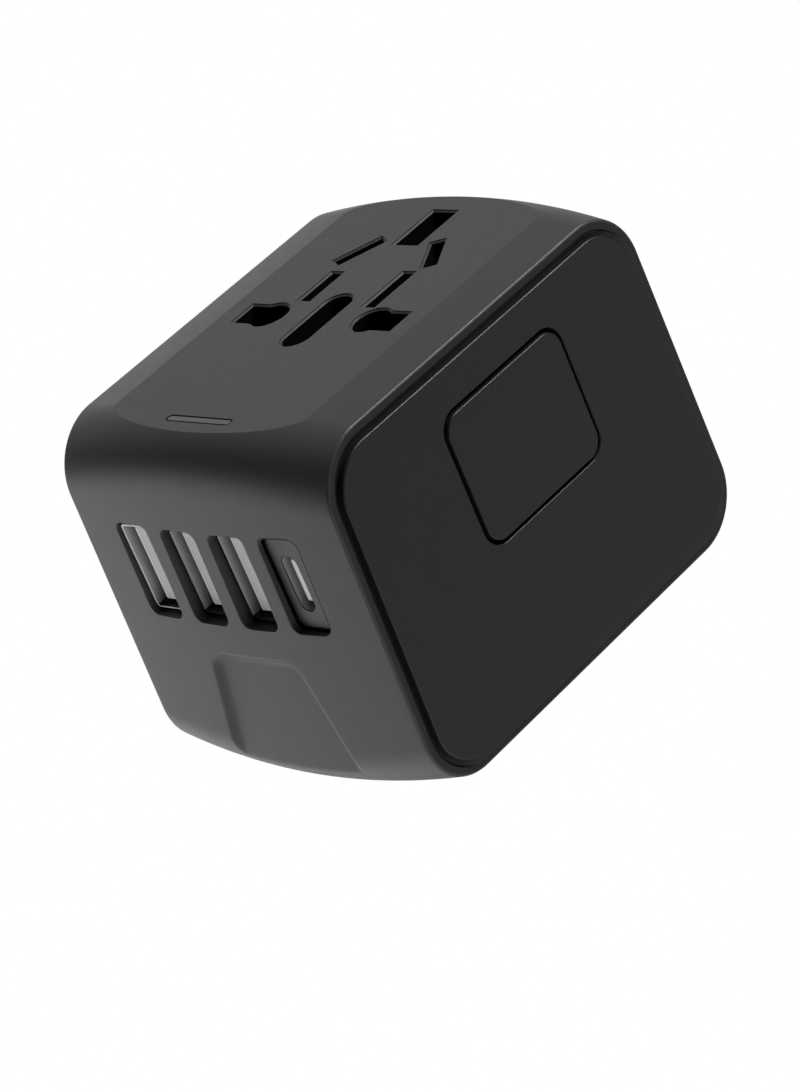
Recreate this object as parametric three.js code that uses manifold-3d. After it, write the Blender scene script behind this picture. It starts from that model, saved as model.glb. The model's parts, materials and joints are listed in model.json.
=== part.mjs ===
// Universal travel adapter: a crowned sleeve with a multi-standard socket on top, USB sockets in
// front, three sets of retractable plug pins below and a release button in the right-hand panel.
// Millimetres. +X points to the release button, +Y to the back, +Z from the plug face up to the
// socket face. The origin is the centre of the base.

import * as THREE from 'three';
import { mergeVertices } from 'three/addons/utils/BufferGeometryUtils.js';
import Module from 'manifold-3d';

const wasm = await Module();
wasm.setup();

// ---------------------------------------------------------------- driving dimensions

const GAP = 0.3;                    // clearance between neighbouring pieces
const ARC = 4;                      // fineness of the round stretches of an outline
const PAST = 1;                     // how far a cutting body runs past the face it cuts
const FAR = 40;                     // past the whole part, in any direction

// sleeve
const HEIGHT = 52.5;                // plug face to socket face
const EDGE_X = 24.9;                // half length of the sleeve
const END_DROP = 1.0;               // the sleeve's ends lie this far inside the two flat faces
const FRONT_Y = -31.89;             // front of the sleeve's ends, at MID_Z
const BACK_Y = 31.96;               // back of the sleeve's ends, at MID_Z
const MID_Z = 27.5;
const FRONT_LEAN = 0.033;           // the front leans outward downwards, mm per mm
const BACK_LEAN = 0.013;
const CORNER_R = 8.5;
const CROWN_Z = 2.08;               // bulge of top and bottom half way along the sleeve
const CROWN_Y = 1.5;                // bulge of front and back
const CROWN_STEPS = 12;
const EDGE_ROUND = 0.5;             // rounding of the sleeve's end rims
const WALL = 2.6;
const RIM_WALL = 1.45;              // thinner wall around the side panels
const RIM_SEAT_X = 22.3;            // step that the side panels rest on

// side panels
const PANEL_X = 25.44;              // outer face
const PANEL_BACK_X = RIM_SEAT_X + GAP;
const PANEL_INSET = 2.08;           // from the sleeve's outline to the panel's outline
const PANEL_ROUND = 0.4;

// socket face
const LINE_Y = -1.25;               // line through the British line and neutral holes
const SOCKET_BLOCK = { half: 16.6, y: [-9.4, 26.8], low: 46 };  // thick block around the holes
const CHAMFER = 0.3;
const UK_SPACING = 22.2;
const UK_EARTH_Y = LINE_Y + UK_SPACING;
const UK_OUTER_X = 14.65;
const UK_HALF_HEIGHT = 2.1;
const UK_EARTH_SLOT = [4.4, 8.5];
const EU_SPACING = 19;
const EU_HOLE_R = 2.7;
const EARTH_SLOT_R = 2.2;
const EARTH_SLOT_LENGTH = 12.4;
const EARTH_SLOT_Y = LINE_Y - 0.65;
const US_SPACING = 12.7;
const US_SLOT_Y = LINE_Y + 7.2;
const US_SLOT_WIDTH = 2.0;
const US_SLOT_LENGTHS = [6.9, 8.3]; // left, right
const AU_SPACING = 13.7;
const AU_SLOT_Y = LINE_Y + 16.0;
const AU_SLOT = [1.95, 6.95];
const AU_ANGLE = Math.PI / 6;

// status light
const LIGHT_Y = -25.55;
const LIGHT_LENGTH = 11.7;
const LIGHT_WIDTH = 1.1;
const LIGHT_PLAY = 0.06;
const LIGHT_PIPE_Z = [44, HEIGHT - 0.03];
const LED_BOARD = { half: 7, y: -28, z: [41.2, 42.2] };
const LED = { x: 1.8, y: 1.3, z: [42.5, 43.7] };

// release button
const BUTTON_HOLE = { y: 1.4, z: 34.1, width: 24.3, height: 20, r: 3.2 };
const BUTTON_GROOVE = 0.6;
const BUTTON_PROUD = 0.2;
const BUTTON_FLANGE_X = 21.5;
const BUTTON_FLANGE_THICK = 0.8;
const BUTTON_LIP = 1.0;
const BUTTON_WALL = 1.4;
const BUTTON_ROUND = 0.3;
const BUTTON_POST = 3.2;            // round post inside the button that centres its spring
const BUTTON_SPRING = { radius: 2.6, wire: 0.25, turns: 4, play: 0.1 };
const SEAT = { x: [19, 20.1], y: [-8, 11], z: [25.2, 43] };  // wall that the spring stands on
const LATCH = { thick: 0.9, y: [-8, 11], z: [13, 24.8], r: 1 };
const LATCH_TOOTH = { depth: 0.4, half: 1, z: [20, 23] };

// USB sockets
const PORT_PITCH = 9.1;
const PORT_Z = 33.05;
const PORT_MOUTH = [6.6, 14.2, 1.4];
const PORT_DEPTH = 0.85;            // how far back the connectors stand at the outer ports
const USB_A_OUTER = [5.7, 13.1, 0.7];
const USB_A_WALL = 0.3;
const USB_A_BACK_Y = -18.5;
const USB_A_TONGUE_BEVEL = 0.2;
const USB_A_TONGUE = { shift: -0.3, width: 1.85, height: 11.2, setback: 0.8 };
const USB_C_OUTER = [3.2, 8.9];
const USB_C_BACK_Y = -24.2;
const USB_C_WALL = 0.3;
const USB_C_SEAT = 0.1;              // between the bezel's back and the shell
const USB_C_OPENING = [2.6, 8.4];    // through the bezel, as wide as the shell is inside
const USB_C_TONGUE = { width: 0.6, height: 6.2, setback: 0.8 };
const BEZEL = { width: 6.2, height: 13.7, thick: 1.6, r: 1.2 };

// thumb recess below the USB sockets
const RECESS_DEPTH = 0.9;
const RECESS_TOP = { half: 8.0, z: 21.2, r: 2.4 };
const RECESS_FOOT = { half: 13.2, z: -1 };

// carriages: each is a slab with pins below and a tongue out to its knob on the left
const DECK_LOW = 32;
const DECK_HIGH = 34;
const DECK = { half: 21.6, y: [-14.6, 28.4] };
const DECK_NOTCH = { x: [19.6, 22], y: [-12.2, 15.3] };  // room for the button's flange
const ARM_END_X = -24.6;
const ARM_LOW = 27.6;
const ARM_HIGH = 31.6;
const ARM_WIDTH = 2.4;
const RISER_X = [-21.4, -17];
const PIN_TIP_Z = 0.8;              // retracted tips lie just inside the plug face
const FLOOR_HOLE = [-PAST, 8];      // through the floor of the sleeve

const UK_TRAVEL = 23.2;
const UK_SLAB_Z = [27.6, 31.6];
const UK_SLAB_Y = [-4.2, 2.0];
const UK_BAR_X = [15.0, 18.6];
const UK_EARTH_ARM_Y = [16.0, 26.0];
const UK_EARTH_ARM_X = -3.6;
const UK_PIN = [6.35, 4.0];
const UK_PIN_TIP_Z = 5.5;
const UK_BARE_TIP = 8;              // length of the pin below its insulating sleeve
const UK_EARTH_PIN = [4.0, 8.0];
const UK_PIN_BEVEL = 0.6;
const UK_SLEEVE_R = 0.4;
const SLEEVE_WALL = 0.45;
const SLEEVE_PLAY = 0.1;
const SLEEVE_LENGTH = 10;
const PIN_STUB = 0.2;               // what stands out of the top of a carriage

const EU_TRAVEL = 20;
const EU_Y = -9;
const EU_SLAB_Z = [24.6, 28.1];
const EU_SLAB_HALF = 3;
const EU_SLAB_END_X = 12.4;
const EU_PIN_R = 2.0;
const EU_TIP = [[0, 0], [1, 0.15], [1.74, 0.8], [2, 1.8]];  // rounded tip: radius, height

const US_TRAVEL = 18.3;
const US_Y = 9.45;
const US_SLAB_Z = [22.9, 26.9];
const US_SLAB_HALF = 4.9;
const US_SLAB_END_X = 11.4;
const US_BLADE = [1.5, 6.35];
const US_BLADE_BEVEL = 0.4;
const US_BLADE_PLAY = 0.1;          // between the blade and its hub
const US_BORE_R = 4.0;
const US_HUB_R = 3.9;
const US_TWIST = Math.PI / 6;

// sliding knobs, one above the next along Y in the left-hand panel
const KNOBS = {
  eu: { y: -12.0, travel: EU_TRAVEL },
  uk: { y: LINE_Y, travel: UK_TRAVEL },
  us: { y: 9.8, travel: US_TRAVEL },
};
const TRACK_FLOOR_X = 23.64;
const TRACK_WIDTH = 8.8;
const TRACK_Z = [4.0, 36.0];
const TRACK_R = 1.2;
const KNOB_WIDTH = 7.8;
const KNOB_Z = [27.8, 35.6];
const KNOB_R = 1;
const KNOB_RIBS = 4;
const KNOB_RIB = { height: 0.5, foot: 0.3, half: 0.45, margin: 0.8 };

// shutter
const SHUTTER_Z = [44.4, 45.4];
const SHUTTER_PAD_X = [5.8, 14.8];
const SHUTTER_PAD_Y = [-4.9, 2.7];
const SHUTTER_ARM = 3;
const SHUTTER_WEB_Y = [-11.6, -8.6];
const SHUTTER_SEAT = { half: 2.5, y: [-22.8, -21.6], low: 43.2 };
const SHUTTER_SPRING = { radius: 1.3, wire: 0.15, turns: 5 };

// contacts on the deck
const CONTACT_BASE_Z = [DECK_HIGH + GAP, DECK_HIGH + GAP + 0.8];
const CONTACT_TOP = 43;
const LEAF = 0.6;
const GRIP_PLAY = 0.2;
const LEAF_LENGTHS = { uk: 8.6, us: 5.6, au: 5.8, earth: 7.6 };
const UK_LEAF_X = 10.6;
const US_LEAF_Y = US_SLOT_Y + 0.6;
const LINE_PLATES = [{ x: [4.2, 15.2], y: [-4.0, 9.9] }, { x: [3.6, 10.2], y: [9.5, 18.4] }];
const EARTH_PLATE = { half: 2.9, y: [16.6, 25.6] };
const BUS_BAR = { x: [8, 12], y: [2.9, 3.6], z: [4.5, DECK_LOW - GAP] };

// screws that hold the deck up to the sleeve's bosses
const SCREW_X = 17.2;
const SCREW_YS = [-12.2, 26.2];
const BOSS_R = 2.1;
const SCREW_BORE_R = 1.2;
const SCREW_R = 0.9;
const SCREW_HEAD_R = 1.8;
const SCREW_HEAD_Z = [DECK_LOW + 0.1, DECK_LOW + 1.2];
const SCREW_SINK = 1.4;
const SCREW_TIP_Z = [DECK_HIGH + 8, DECK_HIGH + 8.6];

// electronics in front
const PCB_Y = [-18.0, -16.4];
const PCB = { half: 21, z: [6, 43.5] };
const CORE = { y: -23.5, width: 14, depth: 10.2, z: [12.5, 23] };
const CORE_WINDOW = { half: 4.5, z: [14.5, 21] };
const COIL = { z: 17.75, width: 8.4, height: 5.9, r: 1, y: [-28.9, -18.3], bevel: 0.3 };
const CAPACITOR = { x: 14, y: [-28, -18.4], z: 18, r: 3.8, bevel: 0.3 };
const FUSE_Z = 4.4;
const FUSE_Y = -22;
const FUSE_R = 2.6;
const FUSE_TUBE = { r: 2.25, half: 9.5 };
const FUSE_CAP = { inner: 2.3, x: [5, 10], floor: 0.35 };
const FUSE_LEAF = { x: [10.35, 10.75], half: 1.5, z: [2.6, 12] };
const DRAWER = { x: 11.9, y: [-25.2, -18.8], z: [0.3, 6.0], wall: 0.55, floor: 1.4 };
const DRAWER_NOTCH = { half: 2, depth: 0.4, z: 0.9 };
const DRAWER_HOLE_TOP = 4.5;

// ---------------------------------------------------------------- materials

const plastic = (color, roughness) => new THREE.MeshStandardMaterial({ color, roughness, metalness: 0 });
const metal = (color, roughness) => new THREE.MeshStandardMaterial({ color, roughness, metalness: 1 });

const SHELL = plastic(0x4d4d4e, 0.55);
const PANEL = plastic(0x2c2c2d, 0.45);
const KNOB = plastic(0x3a3a3b, 0.5);
const INNER = plastic(0x1d1d1e, 0.6);
const SLEEVE = plastic(0x111112, 0.5);
const LENS = plastic(0x5a5a5b, 0.3);
const BRASS = metal(0xb08d57, 0.35);
const NICKEL = metal(0xb9b9ba, 0.3);
const STEEL = metal(0x9a9a9c, 0.35);
const TONGUE = plastic(0xb8b8b9, 0.4);
const BOARD = plastic(0x1f5130, 0.5);
const FERRITE = plastic(0x2a2a2c, 0.7);
const TAPE = plastic(0xb89a3a, 0.5);
const CAN = metal(0x6f7278, 0.4);
const GLASS = plastic(0xd8dcdc, 0.1);
const DIODE = plastic(0xe8e4c8, 0.3);

// ---------------------------------------------------------------- solids

// shape axes (first, second, extrusion) laid along the part's axes
const AXES_X = new THREE.Matrix4().makeBasis(
  new THREE.Vector3(0, 1, 0), new THREE.Vector3(0, 0, 1), new THREE.Vector3(1, 0, 0));
const AXES_Y = new THREE.Matrix4().makeBasis(
  new THREE.Vector3(1, 0, 0), new THREE.Vector3(0, 0, 1), new THREE.Vector3(0, -1, 0));

function solid(geometry) {
  const bare = geometry.clone();
  bare.deleteAttribute('normal');
  bare.deleteAttribute('uv');
  const merged = mergeVertices(bare, 1e-5);
  const index = merged.index.array;
  const triangles = [];
  for (let i = 0; i < index.length; i += 3) {
    const [a, b, c] = [index[i], index[i + 1], index[i + 2]];
    if (a !== b && b !== c && c !== a) triangles.push(a, b, c);
  }
  return new wasm.Manifold(new wasm.Mesh({
    numProp: 3,
    vertProperties: new Float32Array(merged.attributes.position.array),
    triVerts: new Uint32Array(triangles),
  }));
}

const join = (first, ...rest) => rest.reduce((whole, piece) => whole.add(piece), first);
const cut = (body, ...tools) => tools.reduce((whole, tool) => whole.subtract(tool), body);

function block([x0, x1], [y0, y1], [z0, z1]) {
  const geometry = new THREE.BoxGeometry(x1 - x0, y1 - y0, z1 - z0);
  geometry.translate((x0 + x1) / 2, (y0 + y1) / 2, (z0 + z1) / 2);
  return solid(geometry);
}

// a span of x on the right, or its mirror image on the left
const acrossX = (side, [near, far]) => (side > 0 ? [near, far] : [-far, -near]);

// prisms of a 2-D outline: (y, z) outline along X, (x, z) outline along Y, (x, y) outline along Z
function prism(shape, length, { bevel = 0, steps = 1 } = {}) {
  const geometry = new THREE.ExtrudeGeometry(shape, {
    depth: length - 2 * bevel,
    steps,
    curveSegments: ARC,
    bevelEnabled: bevel > 0,
    bevelThickness: bevel,
    bevelSize: bevel,
    bevelOffset: -bevel,
    bevelSegments: 2,
  });
  geometry.translate(0, 0, bevel);
  return geometry;
}

function alongX(shape, [x0, x1], options) {
  const geometry = prism(shape, x1 - x0, options);
  geometry.applyMatrix4(AXES_X);
  geometry.translate(x0, 0, 0);
  return geometry;
}

function alongY(shape, [y0, y1], options) {
  const geometry = prism(shape, y1 - y0, options);
  geometry.applyMatrix4(AXES_Y);
  geometry.translate(0, y1, 0);
  return geometry;
}

function alongZ(shape, [z0, z1], options) {
  const geometry = prism(shape, z1 - z0, options);
  geometry.translate(0, 0, z0);
  return geometry;
}

function roundedRect([u0, u1], [v0, v1], r) {
  const shape = new THREE.Shape();
  shape.moveTo(u0 + r, v0);
  shape.absarc(u1 - r, v0 + r, r, -Math.PI / 2, 0);
  shape.absarc(u1 - r, v1 - r, r, 0, Math.PI / 2);
  shape.absarc(u0 + r, v1 - r, r, Math.PI / 2, Math.PI);
  shape.absarc(u0 + r, v0 + r, r, Math.PI, Math.PI * 1.5);
  return shape;
}

const centred = (u, v, width, height, r) =>
  roundedRect([u - width / 2, u + width / 2], [v - height / 2, v + height / 2], r);

function rect(u, v, width, height) {
  const shape = new THREE.Shape();
  shape.moveTo(u - width / 2, v - height / 2);
  shape.lineTo(u + width / 2, v - height / 2);
  shape.lineTo(u + width / 2, v + height / 2);
  shape.lineTo(u - width / 2, v + height / 2);
  return shape;
}

// upright cylinder stack about (x, y): steps of [radius, z] from the bottom up
function turned(x, y, steps, segments = 24) {
  const points = steps.map(([r, z]) => new THREE.Vector2(r, z));
  const geometry = new THREE.LatheGeometry(points, segments);
  geometry.rotateX(Math.PI / 2);
  geometry.translate(x, y, 0);
  return solid(geometry);
}

const rod = (x, y, r, [z0, z1], segments) =>
  turned(x, y, [[0, z0], [r, z0], [r, z1], [0, z1]], segments);

class Helix extends THREE.Curve {
  constructor(radius, length, turns) {
    super();
    Object.assign(this, { radius, length, turns });
  }

  getPoint(t, target = new THREE.Vector3()) {
    const angle = t * this.turns * Math.PI * 2;
    return target.set(this.radius * Math.cos(angle), this.radius * Math.sin(angle), this.length * t);
  }
}

function coil(radius, wire, length, turns) {
  const section = new THREE.Shape();
  section.absarc(0, 0, wire, 0, Math.PI * 2);
  return new THREE.ExtrudeGeometry(section, {
    steps: turns * 14,
    curveSegments: 3,
    extrudePath: new Helix(radius, length, turns),
  });
}

const model = new THREE.Group();

function add(name, body, material) {
  const { vertProperties, triVerts } = body.getMesh();
  const geometry = new THREE.BufferGeometry();
  geometry.setAttribute('position', new THREE.BufferAttribute(new Float32Array(vertProperties), 3));
  geometry.setIndex(new THREE.BufferAttribute(new Uint32Array(triVerts), 1));
  geometry.computeVertexNormals();
  const mesh = new THREE.Mesh(geometry, material);
  mesh.name = name;
  model.add(mesh);
}

// ---------------------------------------------------------------- sleeve and panels

// how far the crown stands out at a place along the sleeve: 1 half way, 0 at the ends
const swell = (x) => 1 - (x / EDGE_X) ** 2;

// front of the sleeve, above the bottom corner
const frontY = (x, z) => FRONT_Y - CROWN_Y * swell(x) - FRONT_LEAN * (MID_Z - z);

// a body with the sleeve's outline moved inward by inset, crowned or straight
function sleeveForm(inset, xs, { crown = 0, bevel = 0, low = END_DROP } = {}) {
  const outline = roundedRect(
    [FRONT_Y + inset, BACK_Y - inset], [low + inset, HEIGHT - END_DROP - inset], CORNER_R - inset);
  const geometry = alongX(outline, xs, { bevel, steps: crown ? CROWN_STEPS : 1 });
  const place = geometry.attributes.position;
  for (let i = 0; i < place.count; i += 1) {
    const [x, y, z] = [place.getX(i), place.getY(i), place.getZ(i)];
    const bulge = crown * swell(x);
    const side = y < 0 ? -1 : 1;
    const lean = y < 0 ? FRONT_LEAN : BACK_LEAN;
    place.setY(i, y + side * (CROWN_Y * bulge + lean * (MID_Z - z)));
    place.setZ(i, z + (z < HEIGHT / 2 ? -1 : 1) * CROWN_Z * bulge);
  }
  return solid(geometry);
}

// a hole through the socket face, its mouth opened out by a chamfer
function mouthCut(shape, low) {
  const shaft = alongZ(shape, [low, HEIGHT + PAST]);
  const flare = new THREE.ExtrudeGeometry(shape, {
    depth: PAST,
    curveSegments: ARC,
    bevelThickness: CHAMFER,
    bevelSize: CHAMFER,
    bevelSegments: 1,
  });
  flare.translate(0, 0, HEIGHT);
  return join(solid(shaft), solid(flare));
}

// British slot and European round hole, merged into one keyhole; side is -1 or 1
function keyhole(side) {
  const centre = side * EU_SPACING / 2;
  const meet = Math.asin(UK_HALF_HEIGHT / EU_HOLE_R);
  const meetX = centre + side * EU_HOLE_R * Math.cos(meet);
  const shape = new THREE.Shape();
  shape.moveTo(meetX, LINE_Y - UK_HALF_HEIGHT);
  shape.lineTo(side * UK_OUTER_X, LINE_Y - UK_HALF_HEIGHT);
  shape.lineTo(side * UK_OUTER_X, LINE_Y + UK_HALF_HEIGHT);
  shape.lineTo(meetX, LINE_Y + UK_HALF_HEIGHT);
  const start = side > 0 ? meet : Math.PI - meet;
  const end = side > 0 ? 2 * Math.PI - meet : Math.PI + meet;
  shape.absarc(centre, LINE_Y, EU_HOLE_R, start, end, side < 0);
  return shape;
}

// a slot turned about its own centre
function turnedSlot(x, y, width, length, angle) {
  const [c, s] = [Math.cos(angle), Math.sin(angle)];
  const corners = [[-1, -1], [1, -1], [1, 1], [-1, 1]].map(([i, j]) => {
    const [u, v] = [i * width / 2, j * length / 2];
    return new THREE.Vector2(x + u * c - v * s, y + u * s + v * c);
  });
  return new THREE.Shape(corners);
}

function socketSlots() {
  const slots = [keyhole(-1), keyhole(1), rect(0, UK_EARTH_Y, ...UK_EARTH_SLOT)];
  slots.push(centred(0, EARTH_SLOT_Y, 2 * EARTH_SLOT_R, EARTH_SLOT_LENGTH, EARTH_SLOT_R));
  [-1, 1].forEach((side, i) => {
    slots.push(rect(side * US_SPACING / 2, US_SLOT_Y, US_SLOT_WIDTH, US_SLOT_LENGTHS[i]));
    slots.push(turnedSlot(side * AU_SPACING / 2, AU_SLOT_Y, ...AU_SLOT, side * AU_ANGLE));
  });
  return slots.map((shape) => mouthCut(shape, SOCKET_BLOCK.low - PAST));
}

// the sector that a blade sweeps as it turns from 0 to angle about its own axis
function sweptBlade(x, y, [thick, length], angle) {
  const sweep = [0, 1, 2, 3].map((i) =>
    solid(alongZ(turnedSlot(x, y, thick + 2 * GAP, length + 2 * GAP, angle * i / 3), FLOOR_HOLE)));
  return join(...sweep);
}

// clearance hole for a flat pin of that width and depth
function pinSlot(x, y, [width, depth], zs, gap = GAP) {
  const [halfWidth, halfDepth] = [width / 2 + gap, depth / 2 + gap];
  return block([x - halfWidth, x + halfWidth], [y - halfDepth, y + halfDepth], zs);
}

function pinHoles() {
  const holes = [];
  for (const side of [-1, 1]) {
    holes.push(pinSlot(side * UK_SPACING / 2, LINE_Y, UK_PIN, FLOOR_HOLE));
    holes.push(rod(side * EU_SPACING / 2, EU_Y, EU_PIN_R + GAP, FLOOR_HOLE));
    holes.push(sweptBlade(side * US_SPACING / 2, US_Y, US_BLADE, side * US_TWIST));
  }
  holes.push(pinSlot(0, UK_EARTH_Y, UK_EARTH_PIN, FLOOR_HOLE));
  return holes;
}

function thumbRecess() {
  const { half, z, r } = RECESS_TOP;
  const slope = Math.atan2(RECESS_FOOT.half - half, z - RECESS_FOOT.z);
  const shape = new THREE.Shape();
  shape.moveTo(-RECESS_FOOT.half, RECESS_FOOT.z);
  shape.lineTo(RECESS_FOOT.half, RECESS_FOOT.z);
  shape.absarc(half - r, z - r, r, slope, Math.PI / 2);
  shape.absarc(r - half, z - r, r, Math.PI / 2, Math.PI - slope);
  const reach = solid(alongY(shape, [-FAR, FRONT_Y + CORNER_R]));
  const floor = sleeveForm(RECESS_DEPTH, [-EDGE_X, EDGE_X], { crown: 1, low: -2 * CORNER_R });
  return cut(reach, floor);
}

const portXs = [-1.5, -0.5, 0.5, 1.5].map((i) => i * PORT_PITCH);

function mainHousing() {
  const outer = sleeveForm(0, [-EDGE_X, EDGE_X], { crown: 1, bevel: EDGE_ROUND });
  const bore = sleeveForm(WALL, [-RIM_SEAT_X, RIM_SEAT_X]);
  const rims = [-1, 1].map((side) =>
    sleeveForm(RIM_WALL, side < 0 ? [-FAR, -RIM_SEAT_X] : [RIM_SEAT_X, FAR]));
  const above = block([-FAR, FAR], [-FAR, FAR], [HEIGHT, HEIGHT + FAR]);
  const below = block([-FAR, FAR], [-FAR, FAR], [-FAR, 0]);
  const { half, y: blockY, low } = SOCKET_BLOCK;
  const socketBlock = block([-half, half], blockY, [low, HEIGHT - WALL]);
  const springSeat = block(
    [-SHUTTER_SEAT.half, SHUTTER_SEAT.half], SHUTTER_SEAT.y, [SHUTTER_SEAT.low, HEIGHT - WALL]);
  const bosses = [];
  const bores = [];
  for (const y of SCREW_YS) {
    for (const x of [-SCREW_X, SCREW_X]) {
      bosses.push(rod(x, y, BOSS_R, [DECK_HIGH + GAP, HEIGHT - WALL]));
      bores.push(rod(x, y, SCREW_BORE_R, [DECK_HIGH, SCREW_TIP_Z[1] + GAP]));
    }
  }
  const mouths = portXs.map((x) =>
    solid(alongY(centred(x, PORT_Z, ...PORT_MOUTH), [-FAR, FRONT_Y + 2 * WALL])));
  const lightHole = solid(alongZ(
    centred(0, LIGHT_Y, LIGHT_LENGTH, LIGHT_WIDTH, LIGHT_WIDTH / 2),
    [LIGHT_PIPE_Z[0], HEIGHT + PAST]));
  const drawerHole = block(
    [-DRAWER.x - GAP, DRAWER.x + GAP], [DRAWER.y[0] - GAP, DRAWER.y[1] + GAP],
    [-PAST, DRAWER_HOLE_TOP]);
  const hollow = cut(cut(outer, above, below), bore, ...rims);
  return cut(
    join(hollow, socketBlock, springSeat, ...bosses),
    ...bores, ...socketSlots(), ...pinHoles(), ...mouths, lightHole, drawerHole, thumbRecess());
}

function panelBlank(side) {
  const blank = sleeveForm(PANEL_INSET, [PANEL_BACK_X, PANEL_X], { bevel: PANEL_ROUND });
  return side > 0 ? blank : blank.mirror([1, 0, 0]);
}

function rightSidePanel() {
  const { y, z, width, height, r } = BUTTON_HOLE;
  const hole = alongX(centred(y, z, width, height, r), [PANEL_BACK_X - PAST, PANEL_X + PAST]);
  return cut(panelBlank(1), solid(hole));
}

function leftSidePanel() {
  const tracks = Object.values(KNOBS).map(({ y }) => solid(alongX(
    roundedRect([y - TRACK_WIDTH / 2, y + TRACK_WIDTH / 2], TRACK_Z, TRACK_R),
    [-PANEL_X - PAST, -TRACK_FLOOR_X])));
  const slots = Object.values(KNOBS).map(({ y, travel }) => block(
    [-PANEL_X, -PANEL_BACK_X + PAST], [y - ARM_WIDTH / 2 - GAP, y + ARM_WIDTH / 2 + GAP],
    [ARM_LOW - travel - GAP, ARM_HIGH + GAP]));
  return cut(panelBlank(-1), ...tracks, ...slots);
}

// ---------------------------------------------------------------- release button

function releaseButton() {
  const { y, z, width, height, r } = BUTTON_HOLE;
  const face = PANEL_X + BUTTON_PROUD;
  const [w, h] = [width - 2 * BUTTON_GROOVE, height - 2 * BUTTON_GROOVE];
  const cap = alongX(
    centred(y, z, w, h, r - BUTTON_GROOVE), [BUTTON_FLANGE_X, face], { bevel: BUTTON_ROUND });
  const flange = alongX(
    centred(y, z, width + 2 * BUTTON_LIP, height + 2 * BUTTON_LIP, r),
    [BUTTON_FLANGE_X, BUTTON_FLANGE_X + BUTTON_FLANGE_THICK]);
  const hollow = alongX(
    centred(y, z, w - 2 * BUTTON_WALL, h - 2 * BUTTON_WALL, r - BUTTON_GROOVE - BUTTON_WALL),
    [BUTTON_FLANGE_X - PAST, face - BUTTON_WALL]);
  const post = alongX(
    centred(y, z, BUTTON_POST, BUTTON_POST, BUTTON_POST / 2),
    [BUTTON_FLANGE_X + PAST, face - BUTTON_WALL / 2]);
  return join(cut(join(solid(cap), solid(flange)), solid(hollow)), solid(post));
}

function releaseSpring() {
  const { radius, wire, turns, play } = BUTTON_SPRING;
  const low = SEAT.x[1] + play;
  const high = PANEL_X + BUTTON_PROUD - BUTTON_WALL - play;
  const geometry = coil(radius, wire, high - low - 2 * wire, turns);
  geometry.applyMatrix4(AXES_X);
  geometry.translate(low + wire, BUTTON_HOLE.y, BUTTON_HOLE.z);
  return solid(geometry);
}

// hangs behind the button's flange and reaches down past the carriages
function latchPlate() {
  const face = BUTTON_FLANGE_X - GAP - LATCH.thick;
  const plate = alongX(roundedRect(LATCH.y, LATCH.z, LATCH.r), [face, face + LATCH.thick]);
  const { depth, half, z } = LATCH_TOOTH;
  const teeth = [LATCH.y[0] + LATCH.r + half, LINE_Y, US_Y - LATCH.r].map((y) =>
    block([face - depth, face + depth], [y - half, y + half], z));
  return join(solid(plate), ...teeth);
}

// ---------------------------------------------------------------- inner frame

function innerFrame() {
  const deck = block([-DECK.half, DECK.half], DECK.y, [DECK_LOW, DECK_HIGH]);
  const notch = block(DECK_NOTCH.x, DECK_NOTCH.y, [DECK_LOW - PAST, DECK_HIGH + PAST]);
  const seat = block(SEAT.x, SEAT.y, SEAT.z);
  const [under, sunk, over] = [DECK_LOW - PAST, DECK_LOW + SCREW_SINK, DECK_HIGH + PAST];
  const screwHoles = SCREW_YS.flatMap((y) => [-SCREW_X, SCREW_X].map((x) =>
    turned(x, y, [
      [0, under], [BOSS_R, under], [BOSS_R, sunk], [SCREW_BORE_R, sunk], [SCREW_BORE_R, over],
      [0, over],
    ])));
  return cut(join(cut(deck, notch), seat), ...screwHoles);
}

function deckScrew(x, y) {
  const [foot, under] = SCREW_HEAD_Z;
  const [shank, tip] = SCREW_TIP_Z;
  return turned(x, y, [
    [0, foot], [SCREW_HEAD_R, foot], [SCREW_HEAD_R, under], [SCREW_R, under], [SCREW_R, shank],
    [0, tip],
  ], 16);
}

// ---------------------------------------------------------------- carriages and pins

// the riser inside the left-hand panel and the tongue through it to the knob
function arm(y, low) {
  const ys = [y - ARM_WIDTH / 2, y + ARM_WIDTH / 2];
  return join(
    block(RISER_X, ys, [low, ARM_HIGH]),
    block([ARM_END_X, RISER_X[0] + PAST], ys, [ARM_LOW, ARM_HIGH]));
}

function knob(y) {
  const face = -PANEL_X - BUTTON_PROUD;
  const { height, foot, half, margin } = KNOB_RIB;
  const body = alongX(
    roundedRect([y - KNOB_WIDTH / 2, y + KNOB_WIDTH / 2], KNOB_Z, KNOB_R),
    [face + height, -TRACK_FLOOR_X - GAP]);
  const pitch = (KNOB_Z[1] - KNOB_Z[0]) / (KNOB_RIBS + 1);
  const reach = KNOB_WIDTH / 2 - margin;
  const ribs = Array.from({ length: KNOB_RIBS }, (_, i) => {
    const z = KNOB_Z[0] + (i + 1) * pitch;
    return block([face, face + height + foot], [y - reach, y + reach], [z - half, z + half]);
  });
  const pocket = block(
    [ARM_END_X - GAP, -TRACK_FLOOR_X], [y - ARM_WIDTH / 2 - GAP, y + ARM_WIDTH / 2 + GAP],
    [KNOB_Z[0] - PAST, ARM_HIGH + GAP]);
  return cut(join(solid(body), ...ribs), pocket);
}

// the full height of a slab and a little more
const through = ([z0, z1]) => [z0 - PAST, z1 + PAST];

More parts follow.
